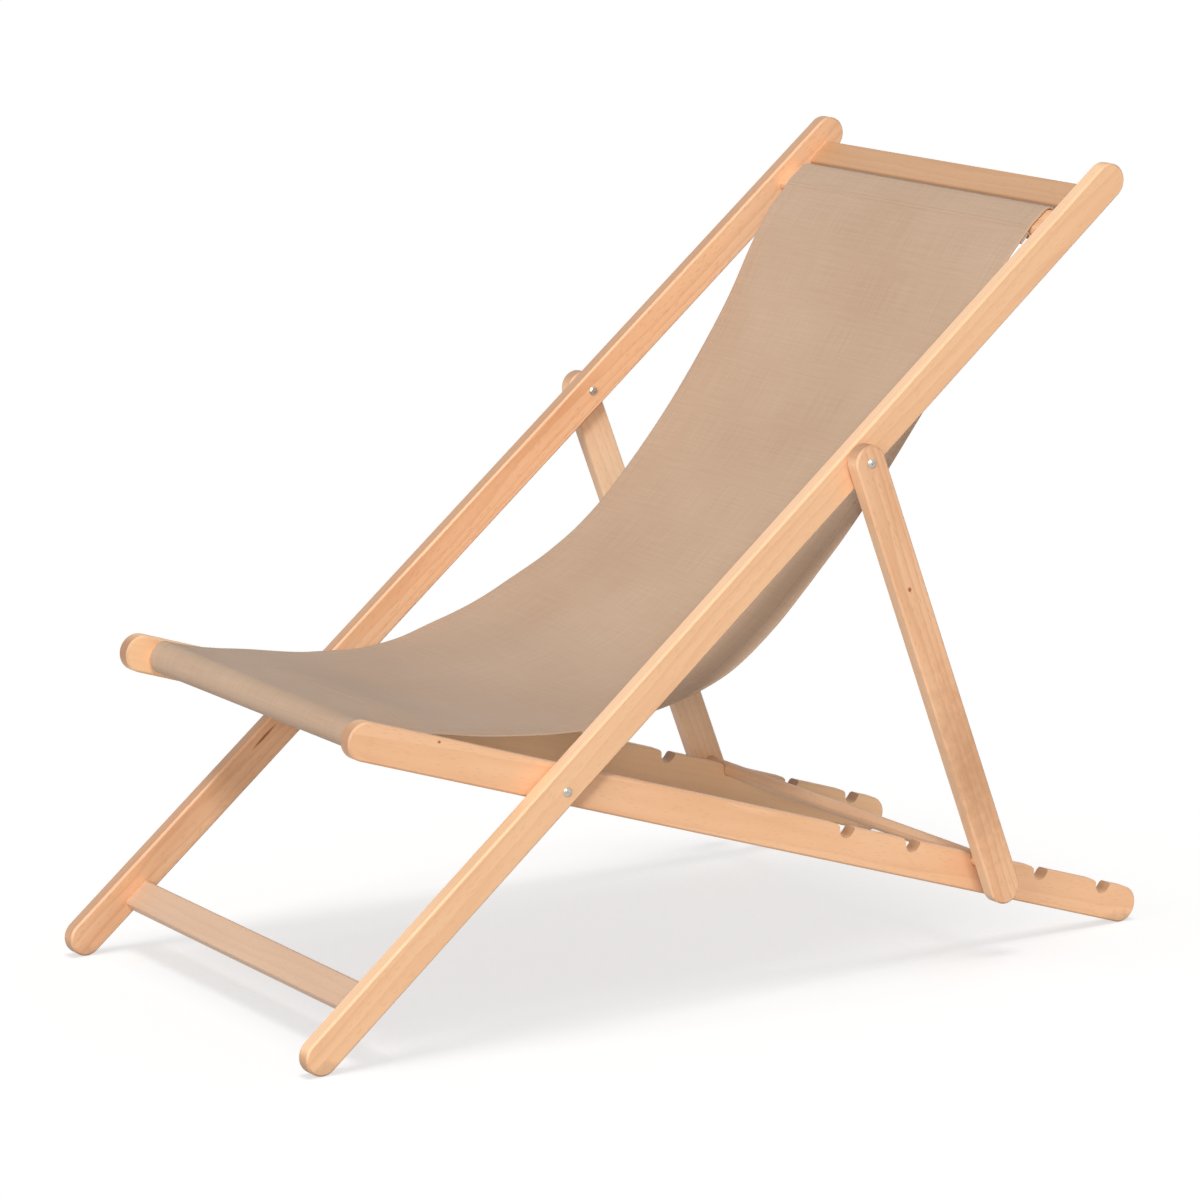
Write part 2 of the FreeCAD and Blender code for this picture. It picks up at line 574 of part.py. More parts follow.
def arc_middle(start, angle, end):
    """Middle of the arc that leaves start at this angle and reaches end, and half its turn."""
    chord = end - start
    half_turn = math.atan2(chord.z, chord.y) - angle
    reach = chord.Length / (2 * math.cos(half_turn / 2))
    return start + unit(angle + half_turn / 2) * reach, half_turn


def biarc_joint(start, start_angle, end, end_angle, ratio):
    """Where two arcs meet between two directed points, and the angle there.

    The ratio is the first arc's tangent length over the second's."""
    leaving, arriving = unit(start_angle), unit(end_angle)
    span = end - start
    both = leaving * ratio + arriving
    spread = 2 * ratio * (1 - leaving.dot(arriving))
    reach = (math.sqrt(span.dot(both) ** 2 + spread * span.dot(span)) - span.dot(both)) / spread
    first_corner = start + leaving * (ratio * reach)
    run = end - arriving * reach - first_corner
    return first_corner + run * (ratio / (1 + ratio)), math.atan2(run.z, run.y)


def line(start, end):
    return Part.LineSegment(start, end).toShape()


def arc(start, middle, end):
    return Part.Arc(start, middle, end).toShape()


def turn_arcs(centre, radius, angle, sweep, count):
    """Equal arcs about a centre, from one angle through a sweep."""
    edges = []
    for index in range(count):
        marks = [angle + sweep * (index + share) / count for share in (0, 0.5, 1)]
        edges.append(arc(*[centre + unit(mark) * radius for mark in marks]))
    return edges


def cloth_solid(label, outer, hole):
    """Cloth of the sling's width with this outline in the side plane."""
    face = Part.makeFace([Part.Wire(outer), Part.Wire(hole)], "Part::FaceMakerBullseye")
    width = size("sling_width")
    face.translate(Vector(-width / 2, 0, 0))
    cloth = doc.addObject("Part::Feature", label)
    cloth.Shape = face.extrude(Vector(width, 0, 0))
    cloth.Label = label
    parts.append(cloth)


def make_sling():
    thick = size("cloth_thickness")
    front_angle = stance.seat + math.radians(size("sling_front_angle"))
    top_angle = stance.back + math.radians(size("sling_top_angle"))
    quarter = math.pi / 2
    # Round the front bar
    bar = bar_middle()
    bar_inner = size("front_bar_diameter") / 2 + size("cloth_clearance")
    bar_outer = bar_inner + thick
    # Round the sling slat: its two edge circles
    slat_inner = size("sling_slat_thickness") / 2 + size("cloth_clearance")
    slat_outer = slat_inner + thick
    half_flat = (size("sling_slat_width") - size("sling_slat_thickness")) / 2
    slat_along = stance.top_tip - size("sling_slat_from_top")
    low_edge = stance.on_back(slat_along - half_flat, 0)
    high_edge = stance.on_back(slat_along + half_flat, 0)
    # The cloth parts on a circle about the seat pivot that passes inside the front pocket
    leave = bar + left_of(front_angle) * bar_outer
    ahead = leave - stance.seat_pivot
    path = (bar - stance.seat_pivot).Length - bar_outer - size("sling_split_clearance")
    inward = ahead.dot(unit(front_angle))
    split = -inward - math.sqrt(inward ** 2 - ahead.dot(ahead) + path ** 2)
    tail = split - size("sling_split_gap")
    # Front pocket: the cloth runs round the bar and back under itself
    notch_run = math.sqrt(bar_outer ** 2 - bar_inner ** 2)
    notch_turn = math.atan2(notch_run, bar_inner)
    upper_tail = leave + unit(front_angle) * tail
    lower_tail = upper_tail - left_of(front_angle) * thick
    crotch = bar + left_of(front_angle) * bar_inner + unit(front_angle) * notch_run
    outer = [line(leave, upper_tail), line(upper_tail, lower_tail), line(lower_tail, crotch)]
    outer += turn_arcs(bar, bar_outer, front_angle + quarter - notch_turn, notch_turn - 4 * quarter, 3)
    cloth_solid("sling_front_pocket", outer, turn_arcs(bar, bar_inner, 0, 4 * quarter, 3))
    # Hanging panel: a straight run, two arcs and a straight run up to the slat
    begin = leave + unit(front_angle) * split
    bend = leave + unit(front_angle) * size("sling_front_run")
    finish = low_edge + left_of(top_angle) * slat_outer
    rise = finish - unit(top_angle) * size("sling_top_run")
    joint, joint_angle = biarc_joint(bend, front_angle, rise, top_angle, size("sling_curve_ratio"))
    seat_middle, seat_half = arc_middle(bend, front_angle, joint)
    back_middle, back_half = arc_middle(joint, joint_angle, rise)
    seat_marks = [(bend, front_angle), (seat_middle, front_angle + seat_half), (joint, joint_angle)]
    back_marks = [(joint, joint_angle), (back_middle, joint_angle + back_half), (rise, top_angle)]
    seat_under = [point - left_of(angle) * thick for point, angle in seat_marks]
    back_under = [point - left_of(angle) * thick for point, angle in back_marks]
    begin_under = begin - left_of(front_angle) * thick
    fork_run = math.sqrt(slat_outer ** 2 - slat_inner ** 2)
    fork_turn = math.atan2(fork_run, slat_inner)
    fork = low_edge + left_of(top_angle) * slat_inner - unit(top_angle) * fork_run
    front_face = left_of(stance.back) * slat_outer
    outer = [line(begin_under, begin), line(begin, bend)]
    outer += [arc(*[point for point, angle in seat_marks]), arc(*[point for point, angle in back_marks])]
    outer.append(line(rise, finish))
    outer += turn_arcs(low_edge, slat_outer, top_angle + quarter, stance.back - top_angle, 1)
    outer.append(line(low_edge + front_face, high_edge + front_face))
    outer += turn_arcs(high_edge, slat_outer, stance.back + quarter, -2 * quarter, 2)
    outer.append(line(high_edge - front_face, low_edge - front_face))
    last_turn = top_angle + fork_turn - stance.back - 2 * quarter
    outer += turn_arcs(low_edge, slat_outer, stance.back - quarter, last_turn, 1)
    outer += [line(fork, back_under[2]), arc(*reversed(back_under)), arc(*reversed(seat_under))]
    outer.append(line(seat_under[0], begin_under))
    inner_face = left_of(stance.back) * slat_inner
    hole = [line(low_edge + inner_face, high_edge + inner_face)]
    hole += turn_arcs(high_edge, slat_inner, stance.back + quarter, -2 * quarter, 2)
    hole.append(line(high_edge - inner_face, low_edge - inner_face))
    hole += turn_arcs(low_edge, slat_inner, stance.back - quarter, -2 * quarter, 2)
    cloth_solid("sling_panel", outer, hole)
    hang = size("sling_front_run") + size("sling_top_run")
    hang += sum(edge.Length for edge in (outer[2], outer[3]))
    print("hanging cloth, front bar to sling slat: %.1f mm" % hang)


for side_name, side_sign in SIDES:
    make_back_rail(side_name, side_sign)
    make_seat_rail(side_name, side_sign)
    make_prop_strut(side_name, side_sign)
    pivot_hardware(side_name, side_sign, "seat", stance.seat_pivot, stance.seat,
                   back_x, "back_rail_thickness", seat_x, "seat_rail_thickness")
    pivot_hardware(side_name, side_sign, "prop", stance.prop_pivot, stance.back,
                   prop_x, "prop_thickness", back_x, "back_rail_thickness")
make_slat("head_slat", stance.top_tip - size("head_slat_from_top"))
make_slat("foot_slat", size("foot_slat_from_foot") - size("back_rail_width") / 2)
make_sling_slat()
make_front_bar()
make_prop_dowel()
make_sling()
doc.recompute()

for thing in doc.Objects:
    if "Invalid" in thing.State or "Error" in thing.State:
        raise RuntimeError("%s failed: %s" % (thing.Name, thing.State))
for part in parts:
    if part.Shape.isNull() or not part.Shape.isValid() or len(part.Shape.Solids) != 1:
        raise RuntimeError("%s is not one valid solid" % part.Label)

os.makedirs("parts", exist_ok=True)
for part in parts:
    part.Shape.exportStep("parts/%s.step" % part.Label)
    print("%-26s %10.0f mm3" % (part.Label, part.Shape.Volume))
print("back rails %.2f deg, seat rails %.2f deg, prop %.2f deg from the vertical" % (
    math.degrees(stance.back), math.degrees(stance.seat), 90 + math.degrees(stance.prop)))
for word, point in (("seat pivot", stance.seat_pivot), ("prop pivot", stance.prop_pivot),
                    ("dowel", stance.dowel), ("front bar", bar_middle())):
    print("%s at y %.3f, z %.3f" % (word, point.y, point.z))
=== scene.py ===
# %% [markdown]
# A folding deck chair: three frames of beech, hinged on four bolts, and one long canvas sling.
# The CAD model already holds every rail, slat and bolt in its place, so this lesson dresses it:
# it gives the wood its grain, sews a real cloth in place of the plain CAD one, and lights the scene.

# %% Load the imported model
import bpy
import math
import numpy as np
from mathutils import Euler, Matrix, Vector
from mathutils.geometry import interpolate_bezier


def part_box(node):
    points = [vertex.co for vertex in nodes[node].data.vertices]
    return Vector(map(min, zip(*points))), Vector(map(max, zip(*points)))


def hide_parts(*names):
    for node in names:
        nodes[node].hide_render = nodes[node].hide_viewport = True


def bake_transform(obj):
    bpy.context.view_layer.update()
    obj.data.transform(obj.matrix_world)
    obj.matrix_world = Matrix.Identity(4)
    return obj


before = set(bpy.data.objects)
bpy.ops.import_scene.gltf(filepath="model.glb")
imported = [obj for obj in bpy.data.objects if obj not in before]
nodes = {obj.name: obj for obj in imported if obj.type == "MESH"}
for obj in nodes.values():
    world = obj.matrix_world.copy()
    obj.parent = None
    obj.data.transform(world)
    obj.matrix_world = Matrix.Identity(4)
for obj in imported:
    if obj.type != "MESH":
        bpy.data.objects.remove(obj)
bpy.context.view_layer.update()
MM = 0.001    # Blender counts in metres, a chair maker in millimetres

# %% [markdown]
# The three frames lean at angles that follow from how the chair stands. They could be typed in,
# but a board's own points tell its direction, and a measured angle stays right if the model changes.

# %% Measure the frames


def slope_of(node):
    """Angle of a board above the floor in the side view, from front to back."""
    side = np.array([v.co[1:] for v in nodes[node].data.vertices])
    long_way = np.linalg.svd(side - side.mean(0), full_matrices=False)[2][0]
    long_way = long_way * np.sign(long_way[0])
    return math.atan2(long_way[1], long_way[0])


def middle_of(node):
    low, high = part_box(node)
    return (Vector(low) + Vector(high)) / 2


seat_slope, back_slope, prop_slope = map(slope_of, ("seat_rail_left", "back_rail_left", "prop_strut_left"))
print("slopes", [round(math.degrees(a), 2) for a in (seat_slope, back_slope, prop_slope)])

# %% [markdown]
# The camera stands about five metres away, a little above the chair and well round to the sitter's
# left. A long lens keeps the rails nearly parallel, as in a catalogue picture. The picture is square.

# %% Camera
ROUND, LOOKS_DOWN = math.radians(57.316), math.radians(11.996)


def put_in_scene(thing):
    bpy.context.scene.collection.objects.link(thing)
    return thing


eye = put_in_scene(bpy.data.objects.new("camera", bpy.data.cameras.new("camera")))
eye.data.lens = 149.74
eye.data.sensor_width = 36.0
eye.data.clip_end = 60.0
eye.location = (4.3708, -2.8189, 1.4795)
eye.rotation_euler = (math.pi / 2 - LOOKS_DOWN, 0, ROUND)
bpy.context.scene.camera = eye
bpy.context.scene.view_settings.view_transform = "Standard"
print("camera", [round(v, 3) for v in eye.location])

# %% [markdown]
# Materials are node trees. Three helpers keep them readable: one turns a colour as it is written on
# screen into the linear light that Blender mixes, one adds a node with its settings and links, and one
# starts a material with an empty tree.

# %% Helpers for node trees
SHARE, UNDER, OVER, MIXED = 0, 6, 7, 2                # sockets of a Mix node that mixes colours
FROM_LOW, FROM_HIGH, TO_LOW, TO_HIGH = 1, 2, 3, 4     # sockets of a Map Range node


def linear(code):
    """sRGB hex colour to linear RGBA."""
    parts = [int(code[i:i + 2], 16) / 255 for i in (1, 3, 5)]
    return [c / 12.92 if c <= 0.04045 else ((c + 0.055) / 1.055) ** 2.4 for c in parts] + [1.0]


def add(tree, kind, ins=None, stops=(), **settings):
    """Add a node. ins sets or links its inputs by name or number, stops fill a colour ramp."""
    node = tree.nodes.new(kind)
    for key, value in settings.items():
        setattr(node, key, value)
    for key, value in (ins or {}).items():
        if isinstance(value, bpy.types.NodeSocket):
            tree.links.new(value, node.inputs[key])
        else:
            node.inputs[key].default_value = value
    for number, (at, code) in enumerate(stops):
        if number >= len(node.color_ramp.elements):
            node.color_ramp.elements.new(at)
        node.color_ramp.elements[number].position = at
        node.color_ramp.elements[number].color = linear(code)
    return node


def new_material(name):
    material = bpy.data.materials.new(name)
    material.use_nodes = True
    material.node_tree.nodes.clear()
    return material, material.node_tree


print("the tan of beech in linear light:", [round(c, 3) for c in linear("#eebd94")])

# %% [markdown]
# Beech is a pale, even, pinkish-tan wood. Planed boards show growth rings that run as soft lines along
# the board, short dark flecks where the rays are cut, and slow changes of tone. A flat picture of wood
# would stretch over the round ends, so the grain here is solid: it fills space, and each board cuts
# its own face out of it. One node group holds it, and its inputs are what differs between boards.

# %% Beech: what each board sets for itself
BOARD_SETS = {"Grain": "Vector", "Facing": "Vector", "Place": "Vector", "Knot": "Vector",
              "Knot size": "Vector", "Stain": "Vector", "Stain size": "Float", "Tint": "Color",
              "Tint share": "Float", "Edge": "Color", "Edge share": "Float", "End share": "Float"}
BOARD_GETS = {"Color": "Color", "Roughness": "Float", "Height": "Float"}

beech = bpy.data.node_groups.new("beech grain", "ShaderNodeTree")
for direction, sockets in (("INPUT", BOARD_SETS), ("OUTPUT", BOARD_GETS)):
    for name, kind in sockets.items():
        beech.interface.new_socket(name, in_out=direction, socket_type="NodeSocket" + kind)
given = add(beech, "NodeGroupInput").outputs
print("a board sets", len(BOARD_SETS), "inputs")

# %% [markdown]
# Rings are cylinders round the heart of the tree, which lies along the board. The distance from that
# line, counted in years of growth, runs from pale early wood to a darker line of late wood. Noise drawn
# out along the board bends the rings, and a second one clouds the tone, so that no ring looks ruled.

# %% Beech: rings and clouds
RING = 4.2 * MM                              # one year's growth
DRAWN_OUT = (1, 0.1, 1)                      # slow changes are ten times as long as wide
WANDER_EVERY, WANDER = 40 * MM, 14 * MM
CLOUD_EVERY, CLOUD_SHARE = 26 * MM, 0.6

drawn = add(beech, "ShaderNodeVectorMath", {0: given["Grain"], 1: DRAWN_OUT}, operation="MULTIPLY")
wander = add(beech, "ShaderNodeTexNoise", {
    "Vector": drawn.outputs[0], "Scale": 1 / WANDER_EVERY, "Detail": 3.0})
wander = add(beech, "ShaderNodeVectorMath", {0: wander.outputs["Color"], "Scale": WANDER}, operation="SCALE")
bent = add(beech, "ShaderNodeVectorMath", {0: given["Grain"], 1: wander.outputs[0]})
away = add(beech, "ShaderNodeVectorMath", {0: bent.outputs[0], 1: (1, 0, 1)}, operation="MULTIPLY")
away = add(beech, "ShaderNodeVectorMath", {0: away.outputs[0]}, operation="LENGTH")
ring = add(beech, "ShaderNodeMath", {0: away.outputs["Value"], 1: RING}, operation="DIVIDE")
ring = add(beech, "ShaderNodeMath", {0: ring.outputs[0]}, operation="FRACT")
tone = add(beech, "ShaderNodeValToRGB", {"Fac": ring.outputs[0]}, stops=(
    (0.0, "#f1c29a"), (0.55, "#eebd94"), (0.88, "#e7b288"), (1.0, "#efbf97")))
slow = add(beech, "ShaderNodeTexNoise", {
    "Vector": drawn.outputs[0], "Scale": 1 / CLOUD_EVERY, "Detail": 2.0})
cloud = add(beech, "ShaderNodeValToRGB", {"Fac": slow.outputs["Fac"]}, stops=(
    (0.32, "#ecd6c3"), (0.55, "#fdf8f3")))
tone = add(beech, "ShaderNodeMix", {SHARE: CLOUD_SHARE, UNDER: tone.outputs[0], OVER: cloud.outputs[0]},
           data_type="RGBA", blend_type="MULTIPLY")
print("rings", RING / MM, "mm apart")

# %% [markdown]
# Flecks are the cut ends of rays: thin dashes along the grain, here the middles of long narrow cells.
# Some boards also hold a brown patch of heartwood. It is a soft ball, longer along the board, whose
# edge is broken up by noise. Last comes the board's own tint, since no two boards match; on the far
# seat rail and the far prop the tint is also painted light, a paler tone where they lie in shade.

# %% Beech: flecks, heartwood and tint
FLECK_LONG, FLECK_WIDE = 15 * MM, 2.4 * MM   # spacing; real flecks are finer, these are drawn to show
FLECK_INNER, FLECK_OUTER, FLECK_SHARE = 0.16, 0.30, 0.5
PATCH_DRAWN_OUT = (1, 0.4, 1)
BREAK_UP = 14 * MM
PATCH_INNER, PATCH_OUTER, PATCH_SHARE = 0.6, 1.4, 0.5

cell = add(beech, "ShaderNodeVectorMath", {
    0: given["Grain"], 1: (1 / FLECK_WIDE, 1 / FLECK_LONG, 1 / FLECK_WIDE)}, operation="MULTIPLY")
cell = add(beech, "ShaderNodeTexVoronoi", {"Vector": cell.outputs[0], "Scale": 1.0})
fleck = add(beech, "ShaderNodeMapRange", {
    "Value": cell.outputs["Distance"], FROM_LOW: FLECK_INNER, FROM_HIGH: FLECK_OUTER,
    TO_LOW: FLECK_SHARE, TO_HIGH: 0.0})
tone = add(beech, "ShaderNodeMix", {
    SHARE: fleck.outputs[0], UNDER: tone.outputs[MIXED], OVER: linear("#cf9b70")}, data_type="RGBA")
patch = add(beech, "ShaderNodeVectorMath", {0: given["Grain"], 1: given["Stain"]}, operation="SUBTRACT")
patch = add(beech, "ShaderNodeVectorMath", {0: patch.outputs[0], 1: PATCH_DRAWN_OUT}, operation="MULTIPLY")
patch = add(beech, "ShaderNodeVectorMath", {0: patch.outputs[0]}, operation="LENGTH")
patch = add(beech, "ShaderNodeMath", {0: patch.outputs["Value"], 1: given["Stain size"]}, operation="DIVIDE")
broken = add(beech, "ShaderNodeTexNoise", {"Vector": given["Grain"], "Scale": 1 / BREAK_UP, "Detail": 3.0})
patch = add(beech, "ShaderNodeMath", {0: patch.outputs[0], 1: broken.outputs["Fac"]})
patch = add(beech, "ShaderNodeMapRange", {
    "Value": patch.outputs[0], FROM_LOW: PATCH_INNER, FROM_HIGH: PATCH_OUTER,
    TO_LOW: PATCH_SHARE, TO_HIGH: 0.0})
tone = add(beech, "ShaderNodeMix", {
    SHARE: patch.outputs[0], UNDER: tone.outputs[MIXED], OVER: linear("#b07e55")}, data_type="RGBA")
tone = add(beech, "ShaderNodeMix", {
    SHARE: given["Tint share"], UNDER: tone.outputs[MIXED], OVER: given["Tint"]}, data_type="RGBA")
print("flecks every", FLECK_LONG / MM, "by", FLECK_WIDE / MM, "mm")

# %% [markdown]
# Which way a surface faces changes the wood. End grain drinks more lacquer, so round ends and notch
# walls are browner; this browning is partly painted shade, the darker notch walls and ends standing
# for the shade they lie in. The narrow edge of a board can be painted paler or browner than its face,
# and the paler edges are painted light. The direction comes from the normal, turned to lie along the
# board, so no mask is painted.

# %% Beech: ends and edges
END_FROM, END_FULL = 0.3, 0.95        # how squarely a surface must face along the board
EDGE_FROM, EDGE_FULL = 0.75, 0.95     # and how squarely across it

facing = add(beech, "ShaderNodeSeparateXYZ", {0: given["Facing"]})
# Browner end grain: partly real, partly painted shade in the notches and on the far seat rail's ends.
end = add(beech, "ShaderNodeMath", {0: facing.outputs["Y"]}, operation="ABSOLUTE")
end = add(beech, "ShaderNodeMapRange", {
    "Value": end.outputs[0], FROM_LOW: END_FROM, FROM_HIGH: END_FULL,
    TO_LOW: 0.0, TO_HIGH: given["End share"]})
tone = add(beech, "ShaderNodeMix", {
    SHARE: end.outputs[0], UNDER: tone.outputs[MIXED], OVER: linear("#b08462")}, data_type="RGBA")
# Narrow edges painted paler or browner than the face; the paler ones are painted light.
edge = add(beech, "ShaderNodeMath", {0: facing.outputs["Z"]}, operation="ABSOLUTE")
edge = add(beech, "ShaderNodeMapRange", {
    "Value": edge.outputs[0], FROM_LOW: EDGE_FROM, FROM_HIGH: EDGE_FULL,
    TO_LOW: 0.0, TO_HIGH: given["Edge share"]})
tone = add(beech, "ShaderNodeMix", {
    SHARE: edge.outputs[0], UNDER: tone.outputs[MIXED], OVER: given["Edge"]}, data_type="RGBA")
print("beech group has", len(beech.nodes), "nodes so far")

# %% [markdown]
# A pin knot is a small dark dot, and a streak is the same dot drawn out along the grain. Where the
# frames meet the floor, the wood is scuffed grey-brown. Satin lacquer goes over all of it: its sheen
# breaks up a little, and flecks and late wood sit a hair lower than the wood around them.

# %% Beech: knots, scuffs and lacquer
KNOT_SHARE = 0.9
SCUFF_RAGGED, SCUFF_LOW, SCUFF_HIGH, SCUFF_SHARE = 22 * MM, -10 * MM, 3 * MM, 0.5
SATIN_LOW, SATIN_HIGH = 0.40, 0.52    # roughness where the cloud is dark and where it is pale

pin = add(beech, "ShaderNodeVectorMath", {0: given["Grain"], 1: given["Knot"]}, operation="SUBTRACT")
pin = add(beech, "ShaderNodeVectorMath", {0: pin.outputs[0], 1: given["Knot size"]}, operation="DIVIDE")
pin = add(beech, "ShaderNodeVectorMath", {0: pin.outputs[0]}, operation="LENGTH")
pin = add(beech, "ShaderNodeValToRGB", {"Fac": pin.outputs["Value"]}, stops=(
    (0.35, "#93633f"), (0.65, "#c79770"), (1.0, "#ffffff")))
tone = add(beech, "ShaderNodeMix", {SHARE: KNOT_SHARE, UNDER: tone.outputs[MIXED], OVER: pin.outputs[0]},
           data_type="RGBA", blend_type="MULTIPLY")
height = add(beech, "ShaderNodeSeparateXYZ", {0: given["Place"]})
scuff = add(beech, "ShaderNodeMath", {0: broken.outputs["Fac"], 1: SCUFF_RAGGED}, operation="MULTIPLY")
scuff = add(beech, "ShaderNodeMath", {0: height.outputs["Z"], 1: scuff.outputs[0]}, operation="SUBTRACT")
scuff = add(beech, "ShaderNodeMapRange", {
    "Value": scuff.outputs[0], FROM_LOW: SCUFF_LOW, FROM_HIGH: SCUFF_HIGH,
    TO_LOW: SCUFF_SHARE, TO_HIGH: 0.0})
tone = add(beech, "ShaderNodeMix", {
    SHARE: scuff.outputs[0], UNDER: tone.outputs[MIXED], OVER: linear("#a5876c")}, data_type="RGBA")
satin = add(beech, "ShaderNodeMapRange", {
    "Value": slow.outputs["Fac"], FROM_LOW: 0.3, FROM_HIGH: 0.7, TO_LOW: SATIN_LOW, TO_HIGH: SATIN_HIGH})
relief = add(beech, "ShaderNodeMath", {0: ring.outputs[0], 1: fleck.outputs[0]}, operation="ADD")
add(beech, "NodeGroupOutput", {
    "Color": tone.outputs[MIXED], "Roughness": satin.outputs[0], "Height": relief.outputs[0]})
print("beech group has", len(beech.nodes), "nodes")

# %% [markdown]
# Every board was sawn from its own place in a tree, so each gets its own material from the same group:
# the heart of the tree lies to one side of it, some centimetres away. A Mapping node turns the grain to
# the slope of the frame. Slats, bar and dowel run across the chair, so their grain is turned once more.

# %% One material for each board
NOWHERE = (9.0, 9.0, 9.0)             # a knot or stain put here never shows
PLAIN, PALE, BROWN, WARM = "#ffffff", "#ffe6c4", "#9b7a61", "#ffcf9f"
END_SHARE = 0.8
GRAIN_DEPTH, GRAIN_STRENGTH = 0.12 * MM, 0.25
LACQUER_IOR = 1.5


def beech_board(node, slope, heart, across=False, knot=(NOWHERE, (MM, MM, MM)), stain=(NOWHERE, MM),
                tint=(PLAIN, 0.0), edge=(PLAIN, 0.0), end=END_SHARE):
    """Beech for one board. heart is the tree's middle from the board's: through, across and along it."""
    material, tree = new_material("beech_" + node)
    turn = Euler((-slope, 0, math.pi / 2 if across else 0))
    shift = -(turn.to_matrix() @ middle_of(node)) + Vector((heart[0], heart[2], heart[1]))
    own = add(tree, "ShaderNodeTexCoord").outputs
    along = add(tree, "ShaderNodeMapping", {"Vector": own["Object"], "Location": shift, "Rotation": turn})
    facing = add(tree, "ShaderNodeMapping", {"Vector": own["Normal"], "Rotation": turn}, vector_type="VECTOR")
    sets = {"Grain": along.outputs[0], "Facing": facing.outputs[0], "Place": own["Object"], "End share": end}
    for name, (at, size) in (("Knot", knot), ("Stain", stain)):
        sets[name], sets[name + " size"] = turn.to_matrix() @ Vector(at) + shift, size
    for name, (code, share) in (("Tint", tint), ("Edge", edge)):
        sets[name], sets[name + " share"] = linear(code), share
    wood = add(tree, "ShaderNodeGroup", sets, node_tree=beech)
    bump = add(tree, "ShaderNodeBump", {
        "Height": wood.outputs["Height"], "Strength": GRAIN_STRENGTH, "Distance": GRAIN_DEPTH})
    shader = add(tree, "ShaderNodeBsdfPrincipled", {
        "Base Color": wood.outputs["Color"], "Roughness": wood.outputs["Roughness"],
        "Normal": bump.outputs[0], "IOR": LACQUER_IOR})
    add(tree, "ShaderNodeOutputMaterial", {"Surface": shader.outputs[0]})
    return material


print("boards are cut from", beech.name)

# %% [markdown]
# Two boards carry a pin knot, one a dark streak and one a brown patch. Their places are points on the
# boards' faces. The tints follow the light and the trees: warm seat rails, a brown head slat, a greyer
# foot slat that feet have rubbed, and rails whose narrow edges are paler or browner than their faces.
# The far seat rail and the far prop are painted paler, painted light where they lie in shade; the far
# seat rail's ends are painted darker, painted shade; and the paler narrow edges of the near back rail
# and the near prop are painted light.

# %% Dress the wooden pieces
SEAT_KNOT = ((0.244, -0.3601, 0.3157), Vector((1.8, 2.4, 1.8)) * MM)
PROP_KNOT = ((0.284, 0.1845, 0.4149), Vector((2.6, 3.2, 2.6)) * MM)
PROP_STAIN = ((0.284, 0.268, 0.215), 55 * MM)
BACK_STREAK = ((-0.246, -0.288, 0.2125), Vector((2.0, 22, 2.0)) * MM)
BOARDS = {
    # The near back rail's narrow edges are painted paler: painted light on the faces that catch more of it.
    "back_rail_left": dict(slope=back_slope, heart=(0.046, 0.012, 0.31), tint=(WARM, 0.35),
                           edge=(PALE, 0.25)),
    "back_rail_right": dict(slope=back_slope, heart=(-0.052, -0.018, 1.72), knot=BACK_STREAK,
                            edge=(BROWN, 0.5)),
    "seat_rail_left": dict(slope=seat_slope, heart=(0.058, -0.010, 2.23), knot=SEAT_KNOT,
                           tint=("#ffc99a", 0.35)),
    # The far seat rail is painted paler, painted light where it lies in the sling's shade, and its ends are
    # painted darker, painted shade.
    "seat_rail_right": dict(slope=seat_slope, heart=(0.040, 0.022, 3.41), tint=(WARM, 0.7), end=1.0),
    # The near prop's narrow edges are painted paler: painted light.
    "prop_strut_left": dict(slope=prop_slope, heart=(0.049, 0.016, 4.18), knot=PROP_KNOT, stain=PROP_STAIN,
                            edge=(PALE, 0.3)),
    # The far prop is painted paler: painted light where it lies in shade.
    "prop_strut_right": dict(slope=prop_slope, heart=(-0.044, 0.009, 5.07), tint=(PALE, 0.3)),
    "head_slat": dict(slope=back_slope, heart=(0.020, 0.047, 6.36), across=True, tint=("#b48a63", 0.65)),
    "sling_slat": dict(slope=back_slope, heart=(-0.016, 0.055, 7.12), across=True),
    "foot_slat": dict(slope=back_slope, heart=(0.012, 0.038, 8.55), across=True, tint=("#cab29d", 0.6)),
    "seat_front_bar": dict(slope=seat_slope, heart=(0.030, 0.020, 9.61), across=True),
    "prop_dowel": dict(slope=prop_slope, heart=(0.025, -0.018, 10.27), across=True, tint=(PALE, 0.15)),
}


def dress(node, material):
    piece = nodes[node]
    piece.data.materials.clear()
    piece.data.materials.append(material)


for node, sawn in BOARDS.items():
    dress(node, beech_board(node, **sawn))
print(len(BOARDS), "wooden pieces dressed")

# %% [markdown]
# The bolts, sleeves and washers are nickel-plated steel, turned on a lathe: pale, a little warm, and
# bright but not a mirror. Fine smudges spread the highlight, so roughness varies slightly. A metal's
# colour is its reflection, so Base Color is pale and Metallic is 1.

# %% Nickel-plated steel
SMUDGE = 2.5 * MM
ROUGH_LOW, ROUGH_HIGH = 0.22, 0.42

